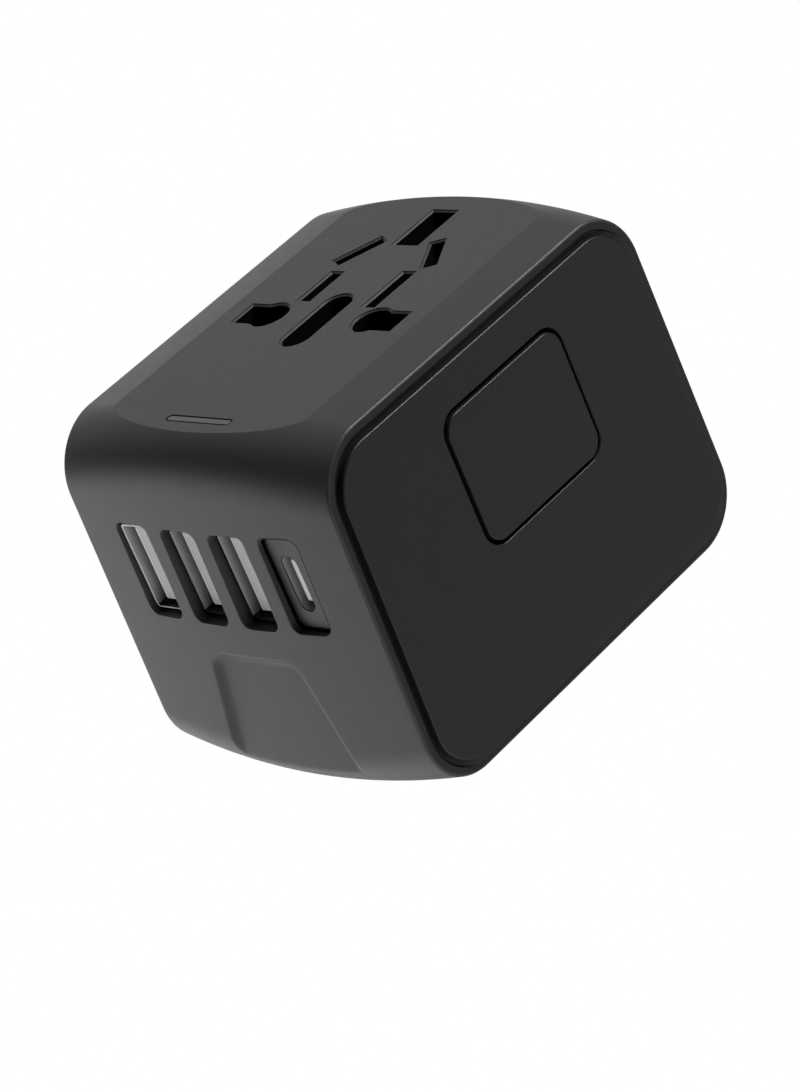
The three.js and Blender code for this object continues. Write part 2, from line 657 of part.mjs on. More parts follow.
function ukCarriage() {
  const slab = block([RISER_X[0], UK_BAR_X[1]], UK_SLAB_Y, UK_SLAB_Z);
  const bar = block(UK_BAR_X, [UK_SLAB_Y[0], UK_EARTH_ARM_Y[1]], UK_SLAB_Z);
  const earthArm = block([UK_EARTH_ARM_X, UK_BAR_X[1]], UK_EARTH_ARM_Y, UK_SLAB_Z);
  const slots = [-1, 1].map((side) =>
    pinSlot(side * UK_SPACING / 2, LINE_Y, UK_PIN, through(UK_SLAB_Z)));
  const earthSlot = pinSlot(0, UK_EARTH_Y, UK_EARTH_PIN, through(UK_SLAB_Z));
  return cut(join(slab, bar, earthArm, arm(KNOBS.uk.y, UK_SLAB_Z[0])), ...slots, earthSlot);
}

function ukLinePin(side) {
  const x = side * UK_SPACING / 2;
  const neck = UK_PIN_TIP_Z + UK_BARE_TIP;
  const tip = alongZ(rect(x, LINE_Y, ...UK_PIN), [UK_PIN_TIP_Z, neck], { bevel: UK_PIN_BEVEL });
  const core = rect(x, LINE_Y, UK_PIN[0] - 2 * SLEEVE_WALL, UK_PIN[1] - 2 * SLEEVE_WALL);
  return join(solid(tip), solid(alongZ(core, [neck - PAST, UK_SLAB_Z[1] + PIN_STUB])));
}

function ukSleeve(side) {
  const x = side * UK_SPACING / 2;
  const top = UK_SLAB_Z[0] - GAP;
  const wall = SLEEVE_WALL - SLEEVE_PLAY;
  const zs = [UK_PIN_TIP_Z + UK_BARE_TIP + GAP, top];
  const outer = alongZ(centred(x, LINE_Y, ...UK_PIN, UK_SLEEVE_R), zs);
  const inner = alongZ(
    rect(x, LINE_Y, UK_PIN[0] - 2 * wall, UK_PIN[1] - 2 * wall), through(zs));
  return cut(solid(outer), solid(inner));
}

function ukEarthPin() {
  const zs = [PIN_TIP_Z, UK_SLAB_Z[1] + PIN_STUB];
  return solid(alongZ(rect(0, UK_EARTH_Y, ...UK_EARTH_PIN), zs, { bevel: UK_PIN_BEVEL }));
}

function euCarriage() {
  const slab = block(
    [RISER_X[0], EU_SLAB_END_X], [EU_Y - EU_SLAB_HALF, EU_Y + EU_SLAB_HALF], EU_SLAB_Z);
  const holes = [-1, 1].map((side) =>
    rod(side * EU_SPACING / 2, EU_Y, EU_PIN_R + GAP, through(EU_SLAB_Z)));
  return cut(join(slab, arm(KNOBS.eu.y, EU_SLAB_Z[0])), ...holes);
}

function euPin(side) {
  const neck = EU_SLAB_Z[0] - GAP - SLEEVE_LENGTH - 2 * GAP;
  const core = EU_PIN_R - SLEEVE_WALL;
  const top = EU_SLAB_Z[1] + PIN_STUB;
  const tip = EU_TIP.map(([r, z]) => [r, PIN_TIP_Z + z]);
  return turned(
    side * EU_SPACING / 2, EU_Y, [...tip, [EU_PIN_R, neck], [core, neck], [core, top], [0, top]], 20);
}

function euSleeve(side) {
  const top = EU_SLAB_Z[0] - GAP;
  const inner = EU_PIN_R - SLEEVE_WALL + SLEEVE_PLAY;
  return cut(
    rod(side * EU_SPACING / 2, EU_Y, EU_PIN_R, [top - SLEEVE_LENGTH, top], 20),
    rod(side * EU_SPACING / 2, EU_Y, inner, through([top - SLEEVE_LENGTH, top]), 20));
}

function usCarriage() {
  const slab = block(
    [RISER_X[0], US_SLAB_END_X], [US_Y - US_SLAB_HALF, US_Y + US_SLAB_HALF], US_SLAB_Z);
  const bores = [-1, 1].map((side) =>
    rod(side * US_SPACING / 2, US_Y, US_BORE_R, through(US_SLAB_Z), 48));
  return cut(join(slab, arm(KNOBS.us.y, US_SLAB_Z[0])), ...bores);
}

function usHub(side) {
  const x = side * US_SPACING / 2;
  const drum = rod(x, US_Y, US_HUB_R, US_SLAB_Z, 48);
  return cut(drum, pinSlot(x, US_Y, US_BLADE, through(US_SLAB_Z), US_BLADE_PLAY));
}

function usBlade(side) {
  const outline = rect(side * US_SPACING / 2, US_Y, ...US_BLADE);
  return solid(alongZ(outline, [PIN_TIP_Z, US_SLAB_Z[1] + PIN_STUB], { bevel: US_BLADE_BEVEL }));
}

// ---------------------------------------------------------------- shutter, contacts and bus bars

function shutter() {
  const armX = [SHUTTER_PAD_X[0], SHUTTER_PAD_X[0] + SHUTTER_ARM];
  const armY = [SHUTTER_WEB_Y[0] + PAST, SHUTTER_PAD_Y[0] + PAST];
  const pads = [-1, 1].flatMap((side) => [
    block(acrossX(side, SHUTTER_PAD_X), SHUTTER_PAD_Y, SHUTTER_Z),
    block(acrossX(side, armX), armY, SHUTTER_Z),
  ]);
  const reach = SHUTTER_PAD_X[1] - PAST;
  const web = block([-reach, reach], SHUTTER_WEB_Y, SHUTTER_Z);
  return join(web, ...pads);
}

function shutterSpring() {
  const { radius, wire, turns } = SHUTTER_SPRING;
  const reach = SHUTTER_WEB_Y[0] - SHUTTER_SEAT.y[1] - 2 * GAP - 2 * wire;
  const geometry = coil(radius, wire, reach, turns);
  geometry.applyMatrix4(AXES_Y);
  geometry.translate(0, SHUTTER_WEB_Y[0] - GAP - wire, (SHUTTER_Z[0] + SHUTTER_Z[1]) / 2);
  return solid(geometry);
}

// two upright leaves that grip a flat pin, laid at an angle about the pin's centre
function leafPair(x, y, grip, length, angle) {
  return [-1, 1].map((i) => {
    const offset = i * (grip + LEAF) / 2;
    const shape = turnedSlot(
      x + offset * Math.cos(angle), y + offset * Math.sin(angle), LEAF, length, angle);
    return solid(alongZ(shape, [CONTACT_BASE_Z[0] + LEAF, CONTACT_TOP]));
  });
}

function lineContact(side) {
  const blade = US_BLADE[0] + GRIP_PLAY;
  return join(
    ...LINE_PLATES.map(({ x, y }) => block(acrossX(side, x), y, CONTACT_BASE_Z)),
    ...leafPair(side * UK_LEAF_X, LINE_Y, UK_PIN[1] + GRIP_PLAY, LEAF_LENGTHS.uk, Math.PI / 2),
    ...leafPair(side * US_SPACING / 2, US_LEAF_Y, blade, LEAF_LENGTHS.us, 0),
    ...leafPair(side * AU_SPACING / 2, AU_SLOT_Y, blade, LEAF_LENGTHS.au, side * AU_ANGLE));
}

function earthContact() {
  return join(
    block([-EARTH_PLATE.half, EARTH_PLATE.half], EARTH_PLATE.y, CONTACT_BASE_Z),
    ...leafPair(0, UK_EARTH_Y, UK_EARTH_PIN[0] + GRIP_PLAY, LEAF_LENGTHS.earth, 0));
}

const busBar = (side) => block(acrossX(side, BUS_BAR.x), BUS_BAR.y, BUS_BAR.z);

// ---------------------------------------------------------------- USB sockets

// one plane for the fronts of all four, as they stand on one board behind the crowned front
const connectorY = frontY(portXs[3], PORT_Z) + PORT_DEPTH;

function usbAShell(x) {
  const [width, height, r] = USB_A_OUTER;
  const outer = alongY(centred(x, PORT_Z, width, height, r), [connectorY, USB_A_BACK_Y]);
  const inner = alongY(
    centred(x, PORT_Z, width - 2 * USB_A_WALL, height - 2 * USB_A_WALL, r - USB_A_WALL),
    [connectorY - PAST, USB_A_BACK_Y - USB_A_WALL]);
  return cut(solid(outer), solid(inner));
}

function usbATongue(x) {
  const { shift, width, height, setback } = USB_A_TONGUE;
  const outline = rect(x + shift, PORT_Z, width, height);
  const ys = [connectorY + setback, USB_A_BACK_Y - USB_A_WALL - GAP];
  return solid(alongY(outline, ys, { bevel: USB_A_TONGUE_BEVEL }));
}

function usbCBezel(x) {
  const back = connectorY + BEZEL.thick;
  const plate = alongY(
    centred(x, PORT_Z, BEZEL.width, BEZEL.height, BEZEL.r), [connectorY, back]);
  const [width, height] = USB_C_OPENING;
  const hole = alongY(
    centred(x, PORT_Z, width, height, width / 2), [connectorY - PAST, back + PAST]);
  return cut(solid(plate), solid(hole));
}

function usbCShell(x) {
  const front = connectorY + BEZEL.thick + USB_C_SEAT;
  const [width, height] = USB_C_OUTER;
  const [w, h] = [width - 2 * USB_C_WALL, height - 2 * USB_C_WALL];
  return cut(
    solid(alongY(centred(x, PORT_Z, width, height, width / 2), [front, USB_C_BACK_Y])),
    solid(alongY(centred(x, PORT_Z, w, h, w / 2), [front - PAST, USB_C_BACK_Y - USB_C_WALL])));
}

function usbCTongue(x) {
  const { width, height, setback } = USB_C_TONGUE;
  const outline = rect(x, PORT_Z, width, height);
  return solid(alongY(outline, [connectorY + setback, USB_C_BACK_Y - USB_C_WALL - GAP]));
}

// ---------------------------------------------------------------- electronics and fuse

function transformerCore() {
  const ring = alongZ(rect(0, CORE.y, CORE.width, CORE.depth), CORE.z);
  const { half, z } = CORE_WINDOW;
  return cut(solid(ring), block([-half, half], through(COIL.y), z));
}

function transformerCoil() {
  const { z, width, height, r, y, bevel } = COIL;
  return solid(alongY(centred(0, z, width, height, r), y, { bevel }));
}

function capacitor(side) {
  const { x, y: [y0, y1], z, r, bevel } = CAPACITOR;
  const profile = [
    [0, y0], [r - bevel, y0], [r, y0 + bevel], [r, y1 - bevel], [r - bevel, y1], [0, y1],
  ];
  const geometry = new THREE.LatheGeometry(profile.map((pair) => new THREE.Vector2(...pair)), 20);
  geometry.translate(side * x, 0, z);
  return solid(geometry);
}

function lightPipe() {
  const width = LIGHT_WIDTH - 2 * LIGHT_PLAY;
  const shape = centred(0, LIGHT_Y, LIGHT_LENGTH - 2 * LIGHT_PLAY, width, width / 2);
  return solid(alongZ(shape, LIGHT_PIPE_Z));
}

function fuseDrawer() {
  const { x, y, z, wall, floor } = DRAWER;
  const tray = block([-x, x], y, z);
  const well = block([wall - x, x - wall], [y[0] + wall, y[1] - wall], [floor, z[1] + PAST]);
  const { half, depth, z: notchTop } = DRAWER_NOTCH;
  const notch = block([-half, half], [y[0] - PAST, y[0] + depth], [-PAST, notchTop]);
  return cut(tray, well, notch);
}

// a round piece lying along X at the fuse's place
function lying(profile) {
  const geometry = new THREE.LatheGeometry(profile.map(([r, x]) => new THREE.Vector2(r, x)), 20);
  geometry.rotateZ(-Math.PI / 2);
  geometry.translate(0, FUSE_Y, FUSE_Z);
  return solid(geometry);
}

function fuseTube() {
  const { r, half } = FUSE_TUBE;
  return lying([[0, -half], [r, -half], [r, half], [0, half]]);
}

function fuseCap(side) {
  const { inner, x: [mouth, end], floor } = FUSE_CAP;
  const profile = [
    [inner, mouth], [FUSE_R, mouth], [FUSE_R, end], [0, end], [0, end - floor],
    [inner, end - floor], [inner, mouth],
  ];
  const cap = lying(profile);
  return side > 0 ? cap : cap.mirror([1, 0, 0]);
}

function fuseLeaf(side) {
  const { x, half, z } = FUSE_LEAF;
  return block(acrossX(side, x), [FUSE_Y - half, FUSE_Y + half], z);
}

// ---------------------------------------------------------------- assembly

add('main_housing', mainHousing(), SHELL);
add('right_side_panel', rightSidePanel(), PANEL);
add('left_side_panel', leftSidePanel(), PANEL);
add('inner_frame', innerFrame(), INNER);
add('release_button', releaseButton(), PANEL);
add('release_spring', releaseSpring(), STEEL);
add('latch_plate', latchPlate(), INNER);

add('eu_carriage', euCarriage(), INNER);
add('uk_carriage', ukCarriage(), INNER);
add('us_carriage', usCarriage(), INNER);
for (const [name, { y }] of Object.entries(KNOBS)) add(`${name}_knob`, knob(y), KNOB);
add('uk_pin_earth', ukEarthPin(), BRASS);

for (const [side, hand, pole] of [[-1, 'left', 'neutral'], [1, 'right', 'live']]) {
  add(`eu_pin_${hand}`, euPin(side), NICKEL);
  add(`eu_sleeve_${hand}`, euSleeve(side), SLEEVE);
  add(`uk_pin_${pole}`, ukLinePin(side), BRASS);
  add(`uk_sleeve_${pole}`, ukSleeve(side), SLEEVE);
  add(`us_hub_${hand}`, usHub(side), INNER);
  add(`us_blade_${hand}`, usBlade(side), NICKEL);
  add(`contact_${pole}`, lineContact(side), BRASS);
  add(`bus_bar_${pole}`, busBar(side), BRASS);
  add(`capacitor_${hand}`, capacitor(side), CAN);
  add(`fuse_cap_${hand}`, fuseCap(side), NICKEL);
  add(`fuse_leaf_${hand}`, fuseLeaf(side), BRASS);
}
add('contact_earth', earthContact(), BRASS);
add('shutter', shutter(), INNER);
add('shutter_spring', shutterSpring(), STEEL);

portXs.slice(0, 3).forEach((x, i) => {
  add(`usb_a_shell_${i + 1}`, usbAShell(x), STEEL);
  add(`usb_a_tongue_${i + 1}`, usbATongue(x), TONGUE);
});
add('usb_c_bezel', usbCBezel(portXs[3]), INNER);
add('usb_c_shell', usbCShell(portXs[3]), STEEL);
add('usb_c_tongue', usbCTongue(portXs[3]), TONGUE);

add('usb_pcb', block([-PCB.half, PCB.half], PCB_Y, PCB.z), BOARD);
add('transformer_core', transformerCore(), FERRITE);
add('transformer_coil', transformerCoil(), TAPE);
add('led_board', block(
  [-LED_BOARD.half, LED_BOARD.half], [LED_BOARD.y, PCB_Y[0] - GAP], LED_BOARD.z), BOARD);
add('led', block([-LED.x, LED.x], [LIGHT_Y - LED.y, LIGHT_Y + LED.y], LED.z), DIODE);
add('light_pipe', lightPipe(), LENS);
add('fuse_drawer', fuseDrawer(), SHELL);
add('fuse_tube', fuseTube(), GLASS);

SCREW_YS.flatMap((y) => [[-SCREW_X, y], [SCREW_X, y]]).forEach(([x, y], i) => {
  add(`deck_screw_${i + 1}`, deckScrew(x, y), STEEL);
});

export default model;
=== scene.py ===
import json
import math

import bmesh
import bpy
from mathutils import Matrix, Vector


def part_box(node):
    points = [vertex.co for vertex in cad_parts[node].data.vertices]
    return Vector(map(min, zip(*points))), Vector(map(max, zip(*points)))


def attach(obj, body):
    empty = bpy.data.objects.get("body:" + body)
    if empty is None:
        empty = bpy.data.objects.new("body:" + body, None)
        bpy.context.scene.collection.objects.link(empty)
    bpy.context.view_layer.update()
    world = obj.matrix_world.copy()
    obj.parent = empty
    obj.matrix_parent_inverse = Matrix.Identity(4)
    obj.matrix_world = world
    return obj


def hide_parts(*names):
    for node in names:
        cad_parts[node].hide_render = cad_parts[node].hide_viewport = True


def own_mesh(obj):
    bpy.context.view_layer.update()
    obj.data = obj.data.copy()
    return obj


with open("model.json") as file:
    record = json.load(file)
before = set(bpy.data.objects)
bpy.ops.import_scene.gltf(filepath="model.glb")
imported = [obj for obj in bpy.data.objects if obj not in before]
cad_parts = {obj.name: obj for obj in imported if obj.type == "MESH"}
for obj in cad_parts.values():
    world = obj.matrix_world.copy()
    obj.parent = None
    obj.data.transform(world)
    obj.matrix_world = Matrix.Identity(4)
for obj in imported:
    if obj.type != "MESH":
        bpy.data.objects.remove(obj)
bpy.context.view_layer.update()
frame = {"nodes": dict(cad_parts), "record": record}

# Lengths are millimetres until a mesh, a lamp or the camera is made. The part's own sizes that a
# node's box doesn't give are repeated here from the CAD source.

MM = 0.001


def cad(node):
    """Spans of a CAD node along x, y and z."""
    low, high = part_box(node)
    return [(low[k] / MM, high[k] / MM) for k in range(3)]


# ---------------------------------------------------------------- sizes

SLEEVE_X, _, SLEEVE_Z = cad("main_housing")
EDGE_X = SLEEVE_X[1]
HEIGHT = SLEEVE_Z[1]
END_DROP = 1.0
FRONT_Y = -31.89
BACK_Y = 31.96
MID_Z = 27.5
FRONT_LEAN = 0.033
BACK_LEAN = 0.013
CORNER_R = 8.5
CROWN_Z = 2.08
CROWN_Y = 1.5
WALL = 2.6
RIM_WALL = 1.45
RIM_SEAT_X = 22.3
EDGE_ROUND = 0.38
LIP_ROUND = 0.45
RUN_Y = (BACK_Y - FRONT_Y) / 2 - CORNER_R
RUN_Z = HEIGHT / 2 - END_DROP - CORNER_R

PANEL_X = 25.44
PANEL_INSET = 2.08
PANEL_ROUND = 0.3
GROOVE_DEPTH = 0.6
# where the groove is closed, its floor is this far below the panel and under the sleeve
CLOSED_STEP = 0.03
FLANGE_OVERLAP = 0.12
HOLE_ROUND = 0.2

LINE_Y = -1.25
UK_SPACING = 22.2
UK_OUTER_X = 14.65
UK_HALF_HEIGHT = 2.1
EU_SPACING = 19.0
EU_HOLE_R = 2.7
# centre x, centre y, width and height
EARTH_SLOT = (0.0, LINE_Y - 0.65, 4.4, 12.4)
EARTH_HOLE = (0.0, LINE_Y + UK_SPACING, 4.4, 8.5)
US_SPACING = 12.7
US_SLOT_Y = LINE_Y + 7.2
US_SLOT_WIDTH = 2.0
US_SLOT_LENGTHS = (6.9, 8.3)
AU_SPACING = 13.7
AU_SLOT_Y = LINE_Y + 16.0
AU_SLOT = (1.95, 6.95)
AU_ANGLE = math.pi / 6
BEVEL = 0.28
BEVEL_SLOPE = 0.7
BEVEL_STEP = 0.1
LIGHT_BEVEL = 0.18
SOCKET_BLOCK = ((-16.6, 16.6), (-9.4, 26.8), (46.0, 49.9))
SPRING_SEAT = ((-2.5, 2.5), (-22.8, -21.6), (43.2, 49.9))
BOSSES = [(x, y) for y in (-12.2, 26.2) for x in (-17.2, 17.2)]
# radius, foot and head
BOSS = (2.1, 34.3, 49.9)
# centre x, centre y, width and height
LIGHT = (0.0, -25.55, 11.7, 1.1)
# how far the holes in the top and the base reach, and how deep their walls are painted with shadow
HOLES_HALF_X = 17.0
HOLES_Y = (-26.5, 28.0)
HOLES_DEEP = 8.0

BUTTON = {"y": 1.4, "z": 34.1, "width": 24.3, "height": 20.0, "r": 3.2}
BUTTON_GROOVE = 0.6
BUTTON_ROUND = 0.22
BUTTON_WALL = 1.4
BUTTON_LIP = 1.0
BUTTON_FLANGE = 0.8

PORT_Z = 33.05
PORT_MOUTH = (6.6, 14.2, 1.4)
PORT_ROUND = 0.08
PORT_OUTLINE = 0.2
OUTLINE_STEP = 0.015
PORT_DEEP = 6.0
PORTS = [sum(cad(node)[0]) / 2 for node in
         ("usb_a_shell_1", "usb_a_shell_2", "usb_a_shell_3", "usb_c_shell")]
CONNECTOR_Y = cad("usb_a_shell_1")[1][0]
CREVICE = 0.25
# how deep into a USB-A socket its metal is darkened by painted shade, and what share of its tone
# is left there
SOCKET_SHADE = (2.5, 0.1)
SHELL_WALL = 0.3
BEZEL_ROUND = 0.3
HOLE_LINE = 0.16
SHELL_LIPS = (0.09, 0.04, 0.04)
USB_C_TONGUE_EXTRA = 0.25
TONGUE_EDGE = 0.26
TONGUE_CHAMFER = 0.04
# how deep the front faces of a socket shell count as its lip, and how far past the USB-C hole
# the faces of its rounded edge reach
LIP_DEEP = 0.16
HOLE_MARGIN = 0.2

RECESS_DEPTH = 0.9
RECESS_HALF = 8.0
RECESS_TOP = 21.2
RECESS_R = 2.4
RECESS_FOOT_HALF = 13.2
RECESS_FOOT_Z = -1.0
RECESS_WALL = 1.45
RECESS_SOFT = 0.13
RECESS_FROM = 0.58
RECESS_GRID_X = 14.0
# the recess fades in between these distances from its outline, which are positive inside it
RECESS_FADE = (-1.0, -0.5)
# only points with a lower y and a lower z than these can be in the recess
RECESS_AREA = (-20.0, 26.0)

GAP = 0.3
UK_PIN = (6.35, 4.0)
UK_EARTH_PIN = (4.0, 8.0)
UK_BARE_TIP = 8.0
EU_Y = -9.0
EU_PIN_R = 2.0
# radius and height of each step of the rounded tip
EU_TIP = ((0.35, 0.02), (1.0, 0.15), (1.5, 0.45), (1.8, 0.9), (1.95, 1.4), (2.0, 1.9))
US_Y = 9.45
US_BLADE = (1.5, 6.35)
US_TWIST = math.pi / 6
SLEEVE_WALL = 0.45
SLEEVE_INNER = 0.35
SLEEVE_CHAMFER = 0.1
PIN_EDGE = 0.25
KNOBS = ("eu", "uk", "us")
TRACK_FLOOR_X = 23.64
TRACK_WIDTH = 8.8
TRACK_Z = (4.0, 36.0)
TRACK_R = 1.2
ARM_WIDTH = 2.4
ARM_Z = (27.6, 31.6)
KNOB_TRAVEL = {"eu": 20.0, "uk": 23.2, "us": 18.3}
KNOB_ROUND = 0.35
KNOB_RIBS = 4
RIB_HIGH = 0.5
RIB_INSET = 0.8
RIB_HALF = 0.45
RIB_ROUND = 0.3
# turns, wire radius, the joint that squeezes the spring and its travel
BUTTON_SPRING = (4, 0.25, "release_press", 1.0)
SHUTTER_SPRING = (5, 0.15, "shutter_slide", 7.6)
COIL_STEPS = 32
WIRE_SIDES = 10


# ---------------------------------------------------------------- mesh helpers

def lerp(a, b, t):
    return a + (b - a) * t


def clamp(value, low=-1.0, high=1.0):
    return max(low, min(high, value))


def inside(count):
    """Places strictly between 0 and 1 that part a run into equal steps."""
    return [i / count for i in range(1, count)]


def outline(u, v, r, arcs=(8, 8, 8, 8), runs=((), (), (), ())):
    """A rounded rectangle over two spans, anticlockwise from the foot of its right side."""
    (u0, u1), (v0, v1) = u, v
    r = min(max(r, 0.001), (u1 - u0) / 2 - 0.001, (v1 - v0) / 2 - 0.001)
    centres = [(u1 - r, v0 + r), (u1 - r, v1 - r), (u0 + r, v1 - r), (u0 + r, v0 + r)]
    corners = []
    for k, (cu, cv) in enumerate(centres):
        turns = [(k - 1 + i / arcs[k]) * math.pi / 2 for i in range(arcs[k] + 1)]
        corners.append([(cu + r * math.cos(a), cv + r * math.sin(a)) for a in turns])
    points = []
    for k in range(4):
        points += corners[k]
        (au, av), (bu, bv) = corners[k][-1], corners[(k + 1) % 4][0]
        points += [(lerp(au, bu, t), lerp(av, bv, t)) for t in runs[k]]
    return points


def shrunk(u, v, r, inset, arcs=(5, 5, 5, 5)):
    """The rounded rectangle moved inward, its corners drawn with the same number of points."""
    return outline((u[0] + inset, u[1] - inset), (v[0] + inset, v[1] - inset),
                   max(r - inset, 0.02), arcs)


def centred(u, v, width, height, r, arcs=(8, 8, 8, 8)):
    return outline((u - width / 2, u + width / 2), (v - height / 2, v + height / 2), r, arcs)


def turned_rect(u, v, width, height, angle=0.0):
    """A plain rectangle turned about its centre, anticlockwise."""
    c, s = math.cos(angle), math.sin(angle)
    points = []
    for i, j in ((-1, -1), (1, -1), (1, 1), (-1, 1)):
        a, b = i * width / 2, j * height / 2
        points.append((u + a * c - b * s, v + a * s + b * c))
    return points


def grown(points, by):
    """The anticlockwise outline with each side moved outward by that much."""
    if not by:
        return points
    moved = []
    for i, (u, v) in enumerate(points):
        before, after = points[i - 1], points[(i + 1) % len(points)]
        d1 = Vector((u - before[0], v - before[1])).normalized()
        d2 = Vector((after[0] - u, after[1] - v)).normalized()
        n1, n2 = Vector((d1.y, -d1.x)), Vector((d2.y, -d2.x))
        step = (n1 + n2) * (by / max(1 + n1.dot(n2), 0.2))
        moved.append((u + step.x, v + step.y))
    return moved


def body(name, points, faces):
    """A mesh object from points in millimetres, its faces turned outward."""
    mesh = bpy.data.meshes.new(name)
    mesh.from_pydata([tuple(c * MM for c in p) for p in points], [], faces)
    work = bmesh.new()
    work.from_mesh(mesh)
    bmesh.ops.recalc_face_normals(work, faces=work.faces)
    work.to_mesh(mesh)
    work.free()
    made = bpy.data.objects.new(name, mesh)
    bpy.context.scene.collection.objects.link(made)
    return made


def loft(name, loops):
    """A closed body through loops of equally many points, capped at both ends."""
    n = len(loops[0])
    points = [p for loop in loops for p in loop]
    faces = [tuple(range(n))[::-1], tuple(range(len(points) - n, len(points)))]
    for i in range(len(loops) - 1):
        for j in range(n):
            a, b = i * n + j, i * n + (j + 1) % n
            faces.append((a, b, b + n, a + n))
    return body(name, points, faces)


def along_x(points, x):
    return [(x, u, v) for u, v in points]


def along_y(points, y):
    return [(u, y, v) for u, v in points]


def along_z(points, z):
    return [(u, v, z) for u, v in points]


def block(name, xs, ys, zs):
    shape = outline(xs, ys, 0.02, (1, 1, 1, 1))
    return loft(name, [along_z(shape, zs[0]), along_z(shape, zs[1])])


def rod(name, x, y, steps, count=48):
    """An upright turned body about (x, y): steps of (radius, z) from one end to the other."""
    turns = [2 * math.pi * i / count for i in range(count)]
    return loft(name, [[(x + r * math.cos(a), y + r * math.sin(a), z) for a in turns]
                       for r, z in steps])


def rounding(r, count=4):
    """Steps round a quarter circle: (how far in from the side, how far down from the face)."""
    turns = [math.pi / 2 * i / count for i in range(count + 1)]
    return [(r * (1 - math.cos(a)), r * (1 - math.sin(a))) for a in turns]


def merged(name, pieces):
    """One object that holds several closed bodies."""
    work = bmesh.new()
    for piece in pieces:
        work.from_mesh(piece.data)
    mesh = bpy.data.meshes.new(name)
    work.to_mesh(mesh)
    work.free()
    for piece in pieces:
        bpy.data.objects.remove(piece)
    made = bpy.data.objects.new(name, mesh)
    bpy.context.scene.collection.objects.link(made)
    return made


def boolean(target, operation, *tools):
    """Adds the tools to the target or cuts them out of it, and applies that to its mesh."""
    for tool in tools:
        change = target.modifiers.new(operation.lower(), "BOOLEAN")
        change.operation = operation
        change.solver = "EXACT"
        change.object = tool
    graph = bpy.context.evaluated_depsgraph_get()
    mesh = bpy.data.meshes.new_from_object(target.evaluated_get(graph))
    target.modifiers.clear()
    target.data = mesh
    for tool in tools:
        bpy.data.objects.remove(tool)


def shaded(piece, angle=30.0, level_z=()):
    """Smooth shading with sharp creases, and sharp edges round the flat faces at level_z."""
    work = bmesh.new()
    work.from_mesh(piece.data)
    bmesh.ops.remove_doubles(work, verts=work.verts, dist=2e-7)

    def level(face):
        height = face.calc_center_median().z / MM
        return abs(face.normal.z) > 0.99999 and any(abs(height - z) < 0.001 for z in level_z)

    for face in work.faces:
        face.smooth = not level(face)
    for edge in work.edges:
        if len(edge.link_faces) == 2:
            a, b = edge.link_faces
            crease = edge.calc_face_angle(0.0) > math.radians(angle) or level(a) != level(b)
            edge.smooth = not crease
    work.to_mesh(piece.data)
    work.free()
    weigh = piece.modifiers.new("weighted_normals", "WEIGHTED_NORMAL")
    weigh.keep_sharp = True
    weigh.weight = 60


# ---------------------------------------------------------------- materials

def grey(level, tint=(1.0, 1.0, 1.0)):
    """Linear colour of a neutral display level from 0 to 255."""
    c = level / 255
    value = c / 12.92 if c <= 0.04045 else ((c + 0.055) / 1.055) ** 2.4
    return tuple(value * t for t in tint) + (1.0,)


def new_material(name):
    made = bpy.data.materials.new(name)
    made.use_nodes = True
    tree = made.node_tree
    shader = tree.nodes["Principled BSDF"]
    place = tree.nodes.new("ShaderNodeTexCoord").outputs["Object"]
    return made, tree, shader, place


def noise(tree, place, scale, detail=3.0, roughness=0.55, stretch=None):
    if stretch:
        mapping = tree.nodes.new("ShaderNodeMapping")
        mapping.inputs["Scale"].default_value = stretch
        tree.links.new(place, mapping.inputs["Vector"])
        place = mapping.outputs["Vector"]
    made = tree.nodes.new("ShaderNodeTexNoise")
    made.inputs["Scale"].default_value = scale
    made.inputs["Detail"].default_value = detail
    made.inputs["Roughness"].default_value = roughness
    tree.links.new(place, made.inputs["Vector"])
    return made.outputs["Fac"]


def spread(tree, value, low, high):
    """The value, which keeps near 0.5, carried onto the span from low to high."""
    made = tree.nodes.new("ShaderNodeMapRange")
    made.inputs["From Min"].default_value = 0.3
    made.inputs["From Max"].default_value = 0.7
    made.inputs["To Min"].default_value = low
    made.inputs["To Max"].default_value = high
    tree.links.new(value, made.inputs["Value"])
    return made.outputs["Result"]


def blend_colours(tree, factor, a, b):
    made = tree.nodes.new("ShaderNodeMix")
    made.data_type = "RGBA"
    made.inputs["A"].default_value = a
    made.inputs["B"].default_value = b
    tree.links.new(factor, made.inputs["Factor"])
    return made.outputs["Result"]


def depth_shaded(tree, place, tone, front, back, share):
    """The tone falling to a share of itself between two places along y, in millimetres: painted
    shade deeper in a socket.
    """
    split = tree.nodes.new("ShaderNodeSeparateXYZ")
    tree.links.new(place, split.inputs["Vector"])
    fall = tree.nodes.new("ShaderNodeMapRange")
    for name, value in (("From Min", front * MM), ("From Max", back * MM),
                        ("To Min", 1.0), ("To Max", share)):
        fall.inputs[name].default_value = value
    tree.links.new(split.outputs["Y"], fall.inputs["Value"])
    made = tree.nodes.new("ShaderNodeMix")
    made.data_type = "RGBA"
    made.blend_type = "MULTIPLY"
    made.inputs["Factor"].default_value = 1.0
    tree.links.new(tone, made.inputs["A"])
    tree.links.new(fall.outputs["Result"], made.inputs["B"])
    return made.outputs["Result"]


def bumps(tree, shader, heights):
    """Stacked bump maps from (height value, depth in metres) pairs."""
    last = None
    for value, depth in heights:
        made = tree.nodes.new("ShaderNodeBump")
        made.inputs["Strength"].default_value = 1.0
        made.inputs["Distance"].default_value = depth
        tree.links.new(value, made.inputs["Height"])
        if last:
            tree.links.new(last, made.inputs["Normal"])
        last = made.outputs["Normal"]
    tree.links.new(last, shader.inputs["Normal"])


